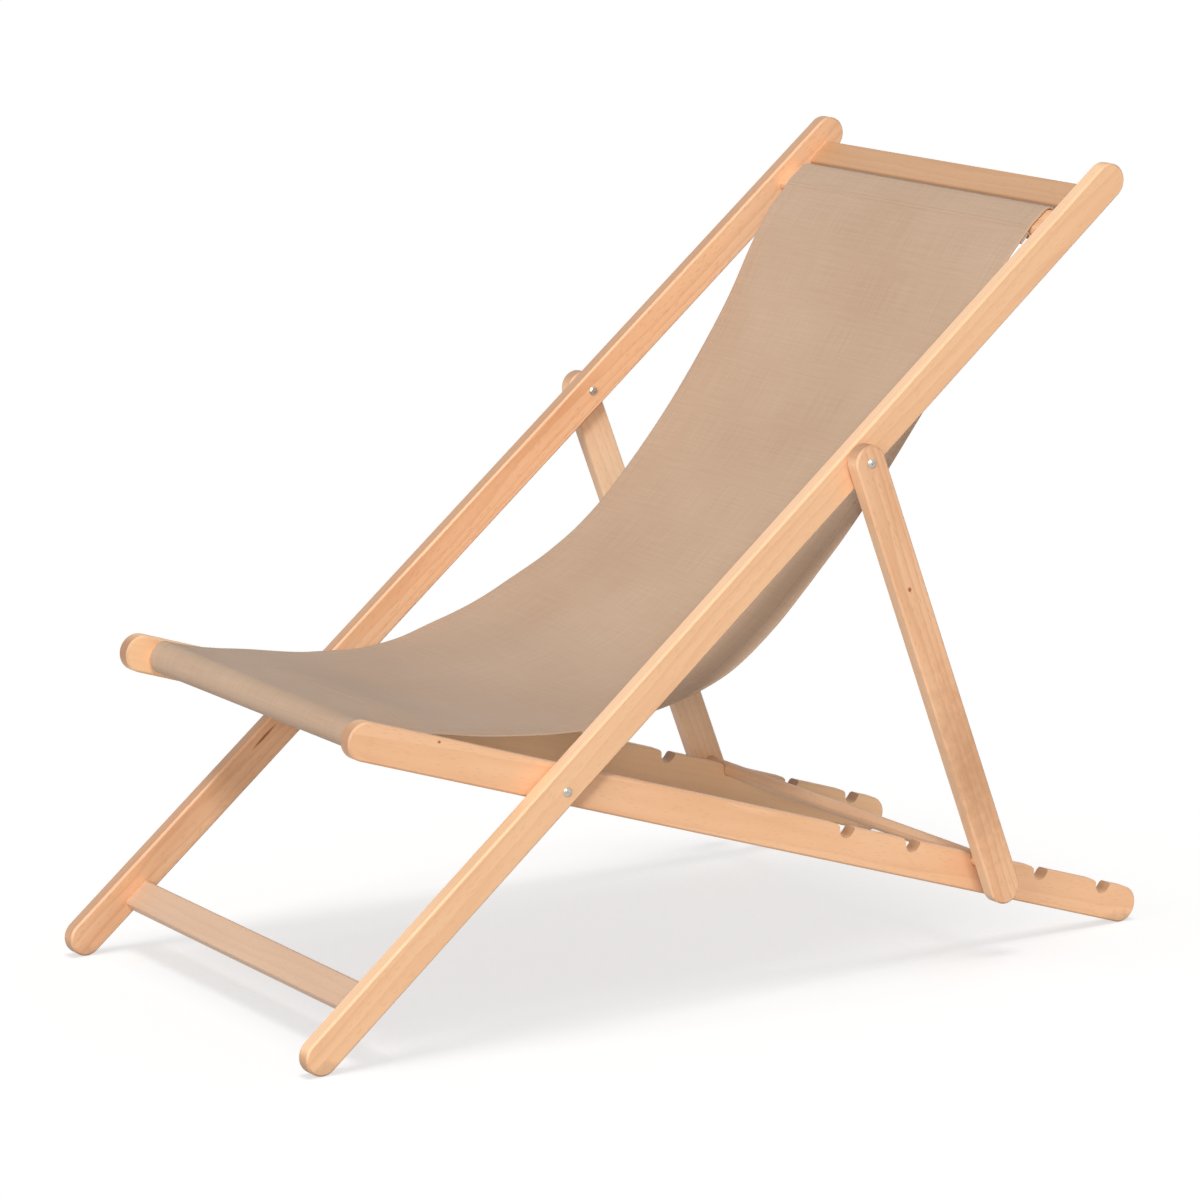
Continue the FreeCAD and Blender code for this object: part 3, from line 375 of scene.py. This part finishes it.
steel, tree = new_material("nickel_plated_steel")
place = add(tree, "ShaderNodeTexCoord").outputs["Object"]
smudge = add(tree, "ShaderNodeTexNoise", {"Vector": place, "Scale": 1 / SMUDGE, "Detail": 2.0})
rough = add(tree, "ShaderNodeMapRange", {
    "Value": smudge.outputs["Fac"], TO_LOW: ROUGH_LOW, TO_HIGH: ROUGH_HIGH})
shade = add(tree, "ShaderNodeValToRGB", {"Fac": smudge.outputs["Fac"]}, stops=(
    (0.3, "#b3aea6"), (0.7, "#cbc6be")))
bump = add(tree, "ShaderNodeBump", {"Height": smudge.outputs["Fac"], "Strength": 0.1, "Distance": 0.05 * MM})
shader = add(tree, "ShaderNodeBsdfPrincipled", {
    "Base Color": shade.outputs[0], "Metallic": 1.0, "Roughness": rough.outputs[0],
    "Normal": bump.outputs[0]})
add(tree, "ShaderNodeOutputMaterial", {"Surface": shader.outputs[0]})
fittings = [name for name in nodes if "_pivot_" in name]
for node in fittings:
    dress(node, steel)
print(len(fittings), "steel fittings dressed")

# %% [markdown]
# The sling is one strip of canvas. Each end is turned over and sewn into a pocket, one round the front
# bar and one round the sling slat, and both long edges are hemmed under. In between it hangs. A cloth
# simulation could find that curve, but a single Bezier curve already gives it: it leaves the bar a
# little steeper than the seat rails fall and meets the slat some degrees steeper than the back rails.

# %% Sizes of the sling
WIDTH = 436 * MM
HEM = 20 * MM
LAYER = 1.0 * MM                            # thickness of the canvas
STEP = 1.3 * MM                             # from the middle of one layer to the next
FRONT_SEAM, TOP_SEAM = 46 * MM, 8 * MM      # hanging cloth between the bar or the slat and its seam
FLAP = 13 * MM                              # cloth past a seam
BAR_RADIUS, SLAT_RADIUS, SLAT_HALF = 12.5 * MM, 7 * MM, 11 * MM
bar_wrap, slat_wrap = BAR_RADIUS + 2.0 * MM, SLAT_RADIUS + 2.6 * MM    # to the middle of the cloth
bar = np.array(middle_of("seat_front_bar")[1:])
slat = np.array(middle_of("sling_slat")[1:])
print("bar and slat in the side view", bar.round(3), slat.round(3))

# %% [markdown]
# All of this happens in the side view, a plane with y to the back and z up. A few small functions do the
# drawing: directions, arcs, a line's touching point on a circle, and a smooth step from 0 to 1 that
# fades one shape into the next.

# %% Helpers for the side view
ARC_STEP = 2.4 * MM
QUARTER = math.pi / 2


def way(angle):
    return np.array([math.cos(angle), math.sin(angle)])


def side_of(angle):
    return np.array([-math.sin(angle), math.cos(angle)])


def arc(centre, radius, start, end):
    count = max(2, round(abs(end - start) * radius / ARC_STEP) + 1)
    return [centre + radius * way(a) for a in np.linspace(start, end, count)]


def between(a, b, step):
    return list(np.linspace(a, b, max(2, round(np.linalg.norm(b - a) / step) + 1)))


def tangent_angle(point, centre, radius, turn):
    """Angle at which the line from a point touches a circle, on the chosen side."""
    gap = point - centre
    return math.atan2(gap[1], gap[0]) + turn * math.acos(radius / np.linalg.norm(gap))


def distances(points):
    return np.concatenate([[0], np.cumsum(np.linalg.norm(np.diff(points, axis=0), axis=1))])


def rise(value, start, end):
    """Smooth step from 0 to 1."""
    t = np.clip((value - start) / (end - start), 0, 1)
    return t * t * (3 - 2 * t)


def hump(value, start, full, fading, gone):
    """Smooth step from 0 to 1 and back to 0."""
    return rise(value, start, full) * (1 - rise(value, fading, gone))


print("half way up a rise:", float(rise(0.5, 0, 1)))

# %% [markdown]
# The Bezier curve has two handles: how far each one reaches sets how deep the cloth sags and where.
# Just below the slat the sewn pocket is stiff, so the cloth stays a few millimetres further forward.

# %% Hanging curve
LEAVE_STEEPER, REACH_STEEPER = math.radians(2.1), math.radians(12.3)
LEAVE_PULL, REACH_PULL = 497 * MM, 260.5 * MM        # lengths of the two handles
STIFF = 3.9 * MM
CURVE_POINTS = 400

leave_slope, reach_slope = seat_slope - LEAVE_STEEPER, back_slope + REACH_STEEPER
low, high = slat - way(back_slope) * SLAT_HALF, slat + way(back_slope) * SLAT_HALF
leave = bar + side_of(leave_slope) * bar_wrap
reach = low + side_of(reach_slope) * slat_wrap
handles = leave + way(leave_slope) * LEAVE_PULL, reach - way(reach_slope) * REACH_PULL
knots = [Vector((*p, 0)) for p in (leave, handles[0], handles[1], reach)]
hang = np.array(interpolate_bezier(*knots, CURVE_POINTS))[:, :2]
from_slat = distances(hang)[-1] - distances(hang)
stiff = hump(from_slat, 0, 45 * MM, 60 * MM, 160 * MM)
hang = hang + STIFF * stiff[:, None] * side_of(reach_slope)
run = distances(hang)
hang_length = run[-1]
print("hanging cloth %.1f mm" % (hang_length / MM))

# %% [markdown]
# The whole strip is one path: from the raw edge of the front flap, round the bar, down and up the
# hanging curve, round the slat and back to the top flap. Naming each stretch lets later steps treat
# a pocket and the free cloth differently.

# %% Side view of the sling
HANG_POINTS, FLAP_POINTS = 132, 6
SLOPE_STEP, FACE_STEP = 5 * MM, 5.5 * MM
LOOK = 1 * MM            # how far to look along the curve for its direction
TOO_CLOSE = 0.2 * MM     # two stretches share their end point, which is kept once


def on_hang(distance, below=0.0):
    """Point of the hanging cloth at this distance from the bar, or below its underside."""
    behind, spot, ahead = (np.array([np.interp(distance + d, run, hang[:, i]) for i in (0, 1)])
                           for d in (-LOOK, 0, LOOK))
    along = ahead - behind
    return spot - side_of(math.atan2(along[1], along[0])) * below


front_stitch = on_hang(FRONT_SEAM, STEP)
front_touch = tangent_angle(front_stitch, bar, bar_wrap, -1)
top_stitch = on_hang(hang_length - TOP_SEAM, STEP)
top_touch = tangent_angle(top_stitch, low, slat_wrap, 1)
face = side_of(back_slope) * slat_wrap
stretches = [
    ("front flap", [on_hang(d, STEP) for d in np.linspace(FRONT_SEAM + FLAP, FRONT_SEAM, FLAP_POINTS)]),
    ("front slope", between(front_stitch, bar + bar_wrap * way(front_touch), SLOPE_STEP)),
    ("front roll", arc(bar, bar_wrap, front_touch, leave_slope + QUARTER - 4 * QUARTER)),
    ("hang", [on_hang(d) for d in np.linspace(0, hang_length, HANG_POINTS)]),
    ("low edge", arc(low, slat_wrap, reach_slope + QUARTER, back_slope + QUARTER)),
    ("slat front", between(low + face, high + face, FACE_STEP)),
    ("slat top", arc(high, slat_wrap, back_slope + QUARTER, back_slope - QUARTER)),
    ("slat rear", between(high - face, low - face, FACE_STEP)),
    ("rear edge", arc(low, slat_wrap, back_slope - QUARTER, top_touch)),
    ("top slope", between(low + slat_wrap * way(top_touch), top_stitch, SLOPE_STEP)),
    ("top flap", [on_hang(hang_length - d, STEP)
                  for d in np.linspace(TOP_SEAM, TOP_SEAM + FLAP, FLAP_POINTS)]),
]
path, names = [], []
for name, points in stretches:
    for point in points:
        if not path or np.linalg.norm(point - path[-1]) > TOO_CLOSE:
            path.append(point)
            names.append(name)
path = np.array(path)
length = distances(path)
along = np.gradient(path, axis=0)
along /= np.linalg.norm(along, axis=1)[:, None]
outward = np.stack([-along[:, 1], along[:, 0]], 1)
print("sling path of %d points, %.0f mm" % (len(path), length[-1] / MM))

# %% [markdown]
# The same idea works across the cloth: a row runs from the raw edge of one hem, round the fold, over
# the top and under again. The sling is then a grid, path by row. Points lie closer together at the hems,
# where the cloth turns, and wider apart over the flat middle.

# %% Row across the sling
half = WIDTH / 2
fold = STEP / 2
FOLD_ANGLES = np.radians((36, 72, 108, 144, 180))

inner = list(np.linspace(0, half - HEM - 4 * MM, 22)) + list(np.linspace(half - HEM, half - fold, 6))
turned = [(half - fold + fold * math.sin(a), fold * math.cos(a) - fold) for a in FOLD_ANGLES]
hidden = [(x, -STEP) for x in np.linspace(half - 5 * MM, half - HEM, 4)]
left_half = [(x, 0.0) for x in inner] + turned + hidden
row = np.array([(-x, depth) for x, depth in reversed(left_half[1:])] + left_half)
across = distances(row)
print("row of %d points, %.0f mm of cloth" % (len(row), across[-1] / MM))

# %% [markdown]
# Some moves of the cloth belong to stretches of the path. A flap steps aside where the hems make the
# pocket thicker. The front pocket is loose on its bar: at one end it stands off evenly, and elsewhere
# the cloth swings off the bar in a wide curve and bends down a hand's width behind it. Each move is a
# list of shares from 0 to 1, one for every point of the path.

# %% Where each move applies
OFF_BAR = -22 * MM, 40 * MM, 45 * MM, 165 * MM    # behind the bar: begins, full, fading, gone


def stretch(wanted):
    return [i for i, name in enumerate(names) if name == wanted]


main = np.array([name == "hang" for name in names])
hang_start = length[names.index("hang")]
behind_bar = length - hang_start
free = hump(path[:, 0], -0.36, -0.25, 0.30, 0.37) * main
at_top = rise(behind_bar, hang_length - 200 * MM, hang_length - 20 * MM)
tuck = np.zeros(len(path))
loose = (1 - rise(behind_bar, 70 * MM, 170 * MM)) * main
swing = hump(behind_bar, *OFF_BAR)
for share, name, start, end in (
        (tuck, "front flap", 1, 1), (tuck, "front slope", 1, 0),
        (tuck, "top slope", 0, 1), (tuck, "top flap", 1, 1),
        (loose, "front flap", 1, 1), (loose, "front slope", 1, 0), (loose, "front roll", -1, 1)):
    share[stretch(name)] = rise(np.linspace(start, end, len(stretch(name))), 0, 1)
for name, start, end in (
        ("front flap", FRONT_SEAM + FLAP, FRONT_SEAM), ("front slope", FRONT_SEAM, OFF_BAR[0])):
    swing[stretch(name)] = hump(np.linspace(start, end, len(stretch(name))), *OFF_BAR)
print("loose points", int((loose > 0).sum()), "swinging points", int((swing > 0).sum()))

# %% [markdown]
# One function then works out every point of the cloth. It starts from the drawn curve and adds what makes
# cloth look hung rather than drawn: soft waves, puckers beside the seams, long edges that droop, a seat
# that hangs unevenly from side to side, a back with a slight twist, and a top that spreads on its slat.
# A simulation would give such things too, but not the ones of this chair.

# %% Points of the cloth
WAVES = ((1.1 * MM, 23, 9, 0.0), (0.9 * MM, 11, -15, 1.3))    # height, turns along and across, start
PUCKER, PUCKER_WIDE, PUCKER_REACH, PUCKER_FLAT = 0.22 * MM, 6.5 * MM, 14 * MM, 6 * MM
DROOP = 1.5 * MM
TWIST, TWIST_AT = 4.6 * MM, (0.06, 0.133, 0.195, 0.333)
# How far the long edges lie above or below the curve, and the y where that begins, is full, fades, ends
FAR_RAISED, FAR_RAISED_AT = 11.8 * MM, (-0.42, -0.257, -0.006, 0.097)
FAR_DIP, FAR_DIP_AT = 4 * MM, (-0.24, -0.175, -0.145, -0.085)
NEAR_RAISED, NEAR_RAISED_AT = 6.5 * MM, (-0.40, -0.33, -0.26, -0.06)
NEAR_DIP, NEAR_DIP_AT = 10.5 * MM, (-0.12, 0.01, 0.0, 0.1)
LOOSE_OFF, SWING_OFF = 5 * MM, 11 * MM
SWING_FADES = half - 110 * MM, half - 5 * MM                  # held down again towards the near edge
SPREAD, SHIFT = 4.75 * MM, -3.25 * MM


def cloth_point(i, x, depth):
    """Point of the cloth at path point i, this far across and this deep below its upper side."""
    y, z = path[i]
    near, far = (1 + x / half) / 2, (1 - x / half) / 2
    hem = rise(abs(x), half - HEM - 12 * MM, half - HEM - 2 * MM)
    lift = depth + 2 * STEP * hem * tuck[i]
    lift += free[i] * sum(tall * math.sin(y * on + x * over + start) for tall, on, over, start in WAVES)
    pucker = math.sin(x / PUCKER_WIDE + 2 * math.sin(x * 31)) * PUCKER
    for seam in (FRONT_SEAM, hang_length - TOP_SEAM):
        gap = abs(behind_bar[i] - seam)
        lift += pucker * main[i] * math.exp(-gap / PUCKER_REACH) * rise(gap, 0, PUCKER_FLAT)
    lift += TWIST * (x / half) * hump(y, *TWIST_AT)
    up = FAR_RAISED * far * hump(y, *FAR_RAISED_AT) - FAR_DIP * far ** 2 * hump(y, *FAR_DIP_AT)
    up += NEAR_RAISED * near * hump(y, *NEAR_RAISED_AT) - NEAR_DIP * near * hump(y, *NEAR_DIP_AT)
    up -= DROOP * (abs(x) / half) ** 8 * free[i]
    up += LOOSE_OFF * loose[i] * far ** 1.5
    up += SWING_OFF * swing[i] * near ** 0.7 * (1 - rise(x, *SWING_FADES))
    out_y, out_z = outward[i] * lift
    return (x + (SPREAD * x / half + SHIFT) * at_top[i], y + out_y, z + out_z + up)


grid = [[cloth_point(i, x, depth) for x, depth in row] for i in range(len(path))]
print("grid", len(path), "x", len(row))

# %% [markdown]
# Canvas is a plain weave of thick yarn: one thread over, one under. Close up it is a field of small
# bumps; from a distance only thicker and thinner yarns show, as faint stripes both ways. The weave
# follows the cloth, so it reads the sling's own UV map, which is laid out in metres.

# %% Canvas
THREAD = 1.2 * MM                            # real yarns are about 0.6 mm apart; drawn twice as coarse to show
SLUB_WIDE, SLUB_LONG = 2.2 * MM, 70 * MM     # thick places in a yarn; real ones are thinner, drawn to show
FADED = 170 * MM

canvas, tree = new_material("cotton_canvas")
weave = add(tree, "ShaderNodeUVMap", uv_map="weave").outputs[0]
count = add(tree, "ShaderNodeVectorMath", {0: weave, "Scale": math.pi / THREAD}, operation="SCALE")
count = add(tree, "ShaderNodeSeparateXYZ", {0: count.outputs[0]})
warp = add(tree, "ShaderNodeMath", {0: count.outputs["X"]}, operation="SINE")
weft = add(tree, "ShaderNodeMath", {0: count.outputs["Y"]}, operation="SINE")
over = add(tree, "ShaderNodeMath", {0: warp.outputs[0], 1: weft.outputs[0]}, operation="MULTIPLY")
slubs = []
for spacing in ((SLUB_WIDE, SLUB_LONG), (SLUB_LONG, SLUB_WIDE)):
    yarn = add(tree, "ShaderNodeVectorMath", {
        0: weave, 1: (1 / spacing[0], 1 / spacing[1], 1)}, operation="MULTIPLY")
    slubs.append(add(tree, "ShaderNodeTexNoise", {"Vector": yarn.outputs[0], "Scale": 1.0, "Detail": 2.0}))
slub = add(tree, "ShaderNodeMath", {0: slubs[0].outputs["Fac"], 1: slubs[1].outputs["Fac"]})
tint = add(tree, "ShaderNodeMath", {0: over.outputs[0], 1: 0.12, 2: slub.outputs[0]}, operation="MULTIPLY_ADD")
tint = add(tree, "ShaderNodeMapRange", {"Value": tint.outputs[0], FROM_LOW: 0.5, FROM_HIGH: 1.5})
cloth_tone = add(tree, "ShaderNodeValToRGB", {"Fac": tint.outputs[0]}, stops=(
    (0.15, "#bfa187"), (0.85, "#c8ac93")))
faded = add(tree, "ShaderNodeTexNoise", {"Vector": weave, "Scale": 1 / FADED, "Detail": 1.0})
fade_tone = add(tree, "ShaderNodeValToRGB", {"Fac": faded.outputs["Fac"]}, stops=(
    (0.35, "#f8f5f2"), (0.65, "#ffffff")))
cloth_tone = add(tree, "ShaderNodeMix", {
    SHARE: 1.0, UNDER: cloth_tone.outputs[0], OVER: fade_tone.outputs[0]},
                 data_type="RGBA", blend_type="MULTIPLY")
relief = add(tree, "ShaderNodeMath", {0: over.outputs[0], 1: slub.outputs[0]})
bump = add(tree, "ShaderNodeBump", {"Height": relief.outputs[0], "Strength": 0.3, "Distance": 0.2 * MM})
shader = add(tree, "ShaderNodeBsdfPrincipled", {
    "Base Color": cloth_tone.outputs[MIXED], "Roughness": 0.9, "Normal": bump.outputs[0],
    "Sheen Weight": 0.15, "Sheen Roughness": 0.5, "Specular IOR Level": 0.3})
add(tree, "ShaderNodeOutputMaterial", {"Surface": shader.outputs[0]})
print("canvas yarn every", THREAD / MM, "mm")

# %% [markdown]
# The grid becomes one mesh of four-sided faces. Solidify then gives the canvas its thickness, half to
# each side, which keeps the mesh light and lets the weave's UV map carry over to both faces.

# %% Sling mesh
columns = len(row)
faces = [(i * columns + j, (i + 1) * columns + j, (i + 1) * columns + j + 1, i * columns + j + 1)
         for i in range(len(path) - 1) for j in range(columns - 1)]
mesh = bpy.data.meshes.new("sling")
mesh.from_pydata([point for line in grid for point in line], [], faces)
uv = mesh.uv_layers.new(name="weave")
for loop in mesh.loops:
    i, j = divmod(loop.vertex_index, columns)
    uv.data[loop.index].uv = (across[j], length[i])
mesh.polygons.foreach_set("use_smooth", [True] * len(mesh.polygons))
mesh.materials.append(canvas)
mesh.update()
sling = put_in_scene(bpy.data.objects.new("sling", mesh))
thick = sling.modifiers.new("canvas", "SOLIDIFY")
thick.thickness = LAYER
thick.offset = 0.0
seat_face = mesh.polygons[len(mesh.polygons) // 2]
print("sling faces", len(mesh.polygons), "upward", round(seat_face.normal.z, 2))

# %% [markdown]
# Stitches repeat by the hundred, so Geometry Nodes place them. First the script draws each row of
# sewing as a line lying on the cloth: along both hems, above and below, and two across each pocket.
# The same function that made the cloth gives the lines their place, so they lie on it exactly.

# %% Rows of sewing
ON_TOP, BENEATH = LAYER / 2 + 0.1 * MM, -LAYER / 2 - 0.1 * MM
IN_FROM_HEM, IN_FROM_EDGE = 3 * MM, 3 * MM
ROW_GAP = 4 * MM
ROW_POINTS = 90


def sewn_line(spots, lift):
    """Points on the cloth, lifted along its outer side. spots are (path place, across)."""
    line = []
    for place, x in spots:
        i = min(int(place), len(path) - 2)
        ends = [Vector(cloth_point(k, x, lift)) for k in (i, i + 1)]
        line.append(ends[0].lerp(ends[1], place - i))
    return line


def place_at(distance):
    """Path place of a point of the hanging cloth."""
    return float(np.interp(hang_start + distance, length, np.arange(len(path))))


lines = []
first, last = names.index("front roll"), names.index("rear edge")
under = range(int(place_at(FRONT_SEAM + FLAP)) + 2, int(place_at(hang_length - TOP_SEAM - FLAP)) - 1)
for side in (-1, 1):
    hem_x = side * (half - HEM + IN_FROM_HEM)
    lines.append(sewn_line([(i, hem_x) for i in range(first, last)], ON_TOP))
    lines.append(sewn_line([(i, hem_x) for i in under], BENEATH - STEP))
for seam, sign in ((FRONT_SEAM, 1), (hang_length - TOP_SEAM, -1)):
    for gap in (0, ROW_GAP):
        spot = place_at(seam + sign * gap)
        sewn_at = np.linspace(-half + IN_FROM_EDGE, half - IN_FROM_EDGE, ROW_POINTS)
        lines.append(sewn_line([(spot, x) for x in sewn_at], ON_TOP))
points, edges = [], []
for line in lines:
    edges += [(len(points) + k, len(points) + k + 1) for k in range(len(line) - 1)]
    points += line
rows_mesh = bpy.data.meshes.new("sewing_rows")
rows_mesh.from_pydata(points, edges, [])
rows = put_in_scene(bpy.data.objects.new("sewing_rows", rows_mesh))
print(len(lines), "rows of sewing")

# %% [markdown]
# The thread is a twisted polyester in the canvas's own tone, so that seams show as relief rather than
# as lines, and a little glossier than cotton. Fine noise stands for the twist of its plies.

# %% Thread
PLY = 0.8 * MM

thread, tree = new_material("polyester_thread")
place = add(tree, "ShaderNodeTexCoord").outputs["Object"]
ply = add(tree, "ShaderNodeTexNoise", {"Vector": place, "Scale": 1 / PLY, "Detail": 1.0})
shade = add(tree, "ShaderNodeValToRGB", {"Fac": ply.outputs["Fac"]}, stops=(
    (0.35, "#b29478"), (0.65, "#c2a58b")))
bump = add(tree, "ShaderNodeBump", {"Height": ply.outputs["Fac"], "Strength": 0.3, "Distance": 0.1 * MM})
shader = add(tree, "ShaderNodeBsdfPrincipled", {
    "Base Color": shade.outputs[0], "Roughness": 0.6, "Normal": bump.outputs[0], "Sheen Weight": 0.2})
add(tree, "ShaderNodeOutputMaterial", {"Surface": shader.outputs[0]})
print("thread noise every", PLY / MM, "mm")

# %% [markdown]
# The node tree divides the lines at the stitch spacing, puts a small capsule of thread on each point,
# turns it along the line with a little sway, and makes real mesh of the lot. Its sizes are inputs, so
# a finer or coarser seam is a change of one number.

# %% Tree that sews
SWAY = 0.05
SEWING_SETS = {"Spacing": "Float", "Stitch length": "Float", "Thread thickness": "Float", "Seed": "Int"}

sewing = bpy.data.node_groups.new("stitches", "GeometryNodeTree")
sewing.interface.new_socket("Geometry", in_out="INPUT", socket_type="NodeSocketGeometry")
for name, kind in SEWING_SETS.items():
    sewing.interface.new_socket(name, in_out="INPUT", socket_type="NodeSocket" + kind)
sewing.interface.new_socket("Geometry", in_out="OUTPUT", socket_type="NodeSocketGeometry")
given = add(sewing, "NodeGroupInput").outputs
curves = add(sewing, "GeometryNodeMeshToCurve", {"Mesh": given["Geometry"]})
even = add(sewing, "GeometryNodeResampleCurve", {
    "Curve": curves.outputs[0], "Length": given["Spacing"]}, mode="LENGTH")
capsule = add(sewing, "GeometryNodeMeshUVSphere", {"Segments": 6, "Rings": 4, "Radius": 0.5})
shape = add(sewing, "ShaderNodeCombineXYZ", {
    "X": given["Stitch length"], "Y": given["Thread thickness"], "Z": given["Thread thickness"]})
capsule = add(sewing, "GeometryNodeTransform", {"Geometry": capsule.outputs["Mesh"], "Scale": shape.outputs[0]})
heading = add(sewing, "GeometryNodeInputTangent")
sway = add(sewing, "FunctionNodeRandomValue", {
    "Min": [-SWAY] * 3, "Max": [SWAY] * 3, "Seed": given["Seed"]}, data_type="FLOAT_VECTOR")
heading = add(sewing, "ShaderNodeVectorMath", {0: heading.outputs[0], 1: sway.outputs[0]})
turned_to = add(sewing, "FunctionNodeAlignRotationToVector", {"Vector": heading.outputs[0]}, axis="X")
placed = add(sewing, "GeometryNodeInstanceOnPoints", {
    "Points": even.outputs[0], "Instance": capsule.outputs[0], "Rotation": turned_to.outputs[0]})
real = add(sewing, "GeometryNodeRealizeInstances", {"Geometry": placed.outputs[0]})
finish = add(sewing, "GeometryNodeSetMaterial", {"Geometry": real.outputs[0], "Material": thread})
add(sewing, "NodeGroupOutput", {"Geometry": finish.outputs[0]})
print("sewing tree has", len(sewing.nodes), "nodes")

# %% [markdown]
# A modifier runs the tree on the rows. Its inputs are set by their identifiers, and then the result is
# copied into a plain mesh. The rows have done their work and go.

# %% Stitches
STITCH = {"Spacing": 4.0 * MM, "Stitch length": 3.2 * MM, "Thread thickness": 0.75 * MM, "Seed": 7}

sew = rows.modifiers.new("stitches", "NODES")
sew.node_group = sewing
for socket in sewing.interface.items_tree:
    if socket.in_out == "INPUT" and socket.name in STITCH:
        sew[socket.identifier] = STITCH[socket.name]
made = bpy.data.meshes.new_from_object(rows.evaluated_get(bpy.context.evaluated_depsgraph_get()))
bpy.data.objects.remove(rows)
made.name = "sling_stitches"
made.polygons.foreach_set("use_smooth", [True] * len(made.polygons))
stitches = put_in_scene(bpy.data.objects.new("sling_stitches", made))
print("stitches", len(made.polygons), "faces")

# %% [markdown]
# The sling and its stitches have their place baked into their meshes, and the plain CAD cloth, its panel
# and front pocket, is hidden, since the sewn sling takes its place.

# %% Bake the sling in place and hide the CAD cloth
for piece in (sling, stitches):
    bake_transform(piece)
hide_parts("sling_panel", "sling_front_pocket")

# %% [markdown]
# A product picture on white needs a floor that is white and still keeps a soft shadow. A white paint
# under strong lamps would do it, but would flood the chair with light from below. So the floor has two
# faces: for the camera and for reflections it glows a little under its paint, and for the light that
# bounces on to the chair it is plain pale paint.

# %% Floor
FLOOR_HALF = 30.0     # metres
GLOW = 0.667          # with the lamp from above this comes to white


def seen_directly(tree):
    """1 for rays from the camera, mirrors and glass, 0 for light that bounces on to the chair."""
    ray = add(tree, "ShaderNodeLightPath").outputs
    seen = add(tree, "ShaderNodeMath", {0: ray["Is Camera Ray"], 1: ray["Is Glossy Ray"]}, operation="MAXIMUM")
    seen = add(tree, "ShaderNodeMath", {0: seen.outputs[0], 1: ray["Is Transmission Ray"]}, operation="MAXIMUM")
    return seen.outputs[0]


floor_paint, tree = new_material("pale_floor")
paint = add(tree, "ShaderNodeBsdfDiffuse", {"Color": linear("#cfcfcf")})
keeps_shadow = add(tree, "ShaderNodeBsdfDiffuse", {"Color": linear("#bcbcbc")})
white = add(tree, "ShaderNodeEmission", {"Color": (1, 1, 1, 1), "Strength": GLOW})
seen_floor = add(tree, "ShaderNodeAddShader", {0: keeps_shadow.outputs[0], 1: white.outputs[0]})
both = add(tree, "ShaderNodeMixShader", {0: seen_directly(tree), 1: paint.outputs[0], 2: seen_floor.outputs[0]})
add(tree, "ShaderNodeOutputMaterial", {"Surface": both.outputs[0]})
corners = [(x * FLOOR_HALF, y * FLOOR_HALF, 0) for x, y in ((-1, -1), (1, -1), (1, 1), (-1, 1))]
floor_mesh = bpy.data.meshes.new("floor")
floor_mesh.from_pydata(corners, [], [(0, 1, 2, 3)])
floor_mesh.materials.append(floor_paint)
floor = put_in_scene(bpy.data.objects.new("floor", floor_mesh))
print("floor", 2 * FLOOR_HALF, "m wide")

# %% [markdown]
# The sky is white to look at and dim to be lit by. It fills the shadows evenly, as the walls of a white
# room do, and it uses the same trick as the floor.

# %% Sky
SKY_LIGHT, SKY_SEEN = 0.29, 1.0

world = bpy.data.worlds.new("studio")
world.use_nodes = True
world.node_tree.nodes.clear()
level = add(world.node_tree, "ShaderNodeMapRange", {
    "Value": seen_directly(world.node_tree), TO_LOW: SKY_LIGHT, TO_HIGH: SKY_SEEN})
sky = add(world.node_tree, "ShaderNodeBackground", {"Color": (1, 1, 1, 1), "Strength": level.outputs[0]})
add(world.node_tree, "ShaderNodeOutputWorld", {"Surface": sky.outputs[0]})
bpy.context.scene.world = world
print("sky lights at", SKY_LIGHT)

# %% [markdown]
# Three soft lamps light the chair: a high window on the sitter's left, a bright wall in front, and a weak
# lamp beside the camera. A fourth, overhead, lights the floor alone and draws the soft shadow under the
# chair. Light linking keeps the two jobs apart. All are sun lamps: only their direction counts, and the
# wider the sun, the softer the edge of its shadow.

# %% Lamps


def lamp(name, azimuth, elevation, wide, strength, floor_link="EXCLUDE"):
    """A soft sun lamp. Angles are degrees: round from the front, up from the floor, and the sun's width."""
    data = bpy.data.lights.new(name, "SUN")
    data.energy = strength
    data.angle = math.radians(wide)
    thing = put_in_scene(bpy.data.objects.new(name, data))
    a, e = math.radians(azimuth), math.radians(elevation)
    aim = Vector((math.sin(a) * math.cos(e), -math.cos(a) * math.cos(e), math.sin(e)))
    thing.rotation_euler = aim.to_track_quat("Z", "Y").to_euler()
    lit = bpy.data.collections.new(name + "_receivers")
    lit.objects.link(floor)
    lit.collection_objects[0].light_linking.link_state = floor_link
    thing.light_linking.receiver_collection = lit
    print(name, "shines from", [round(v, 2) for v in aim])


lamp("window", 58, 42, 12, 1.37)
lamp("bright_wall", 25, 18, 30, 1.22)
lamp("beside_camera", 58.5, 13.5, 6, 0.6)
lamp("overhead", 57, 89, 25, 1.23, floor_link="INCLUDE")

# %% [markdown]
# The last cell prints that the script has come to its end.

# %% End of the script
print("all cells done")
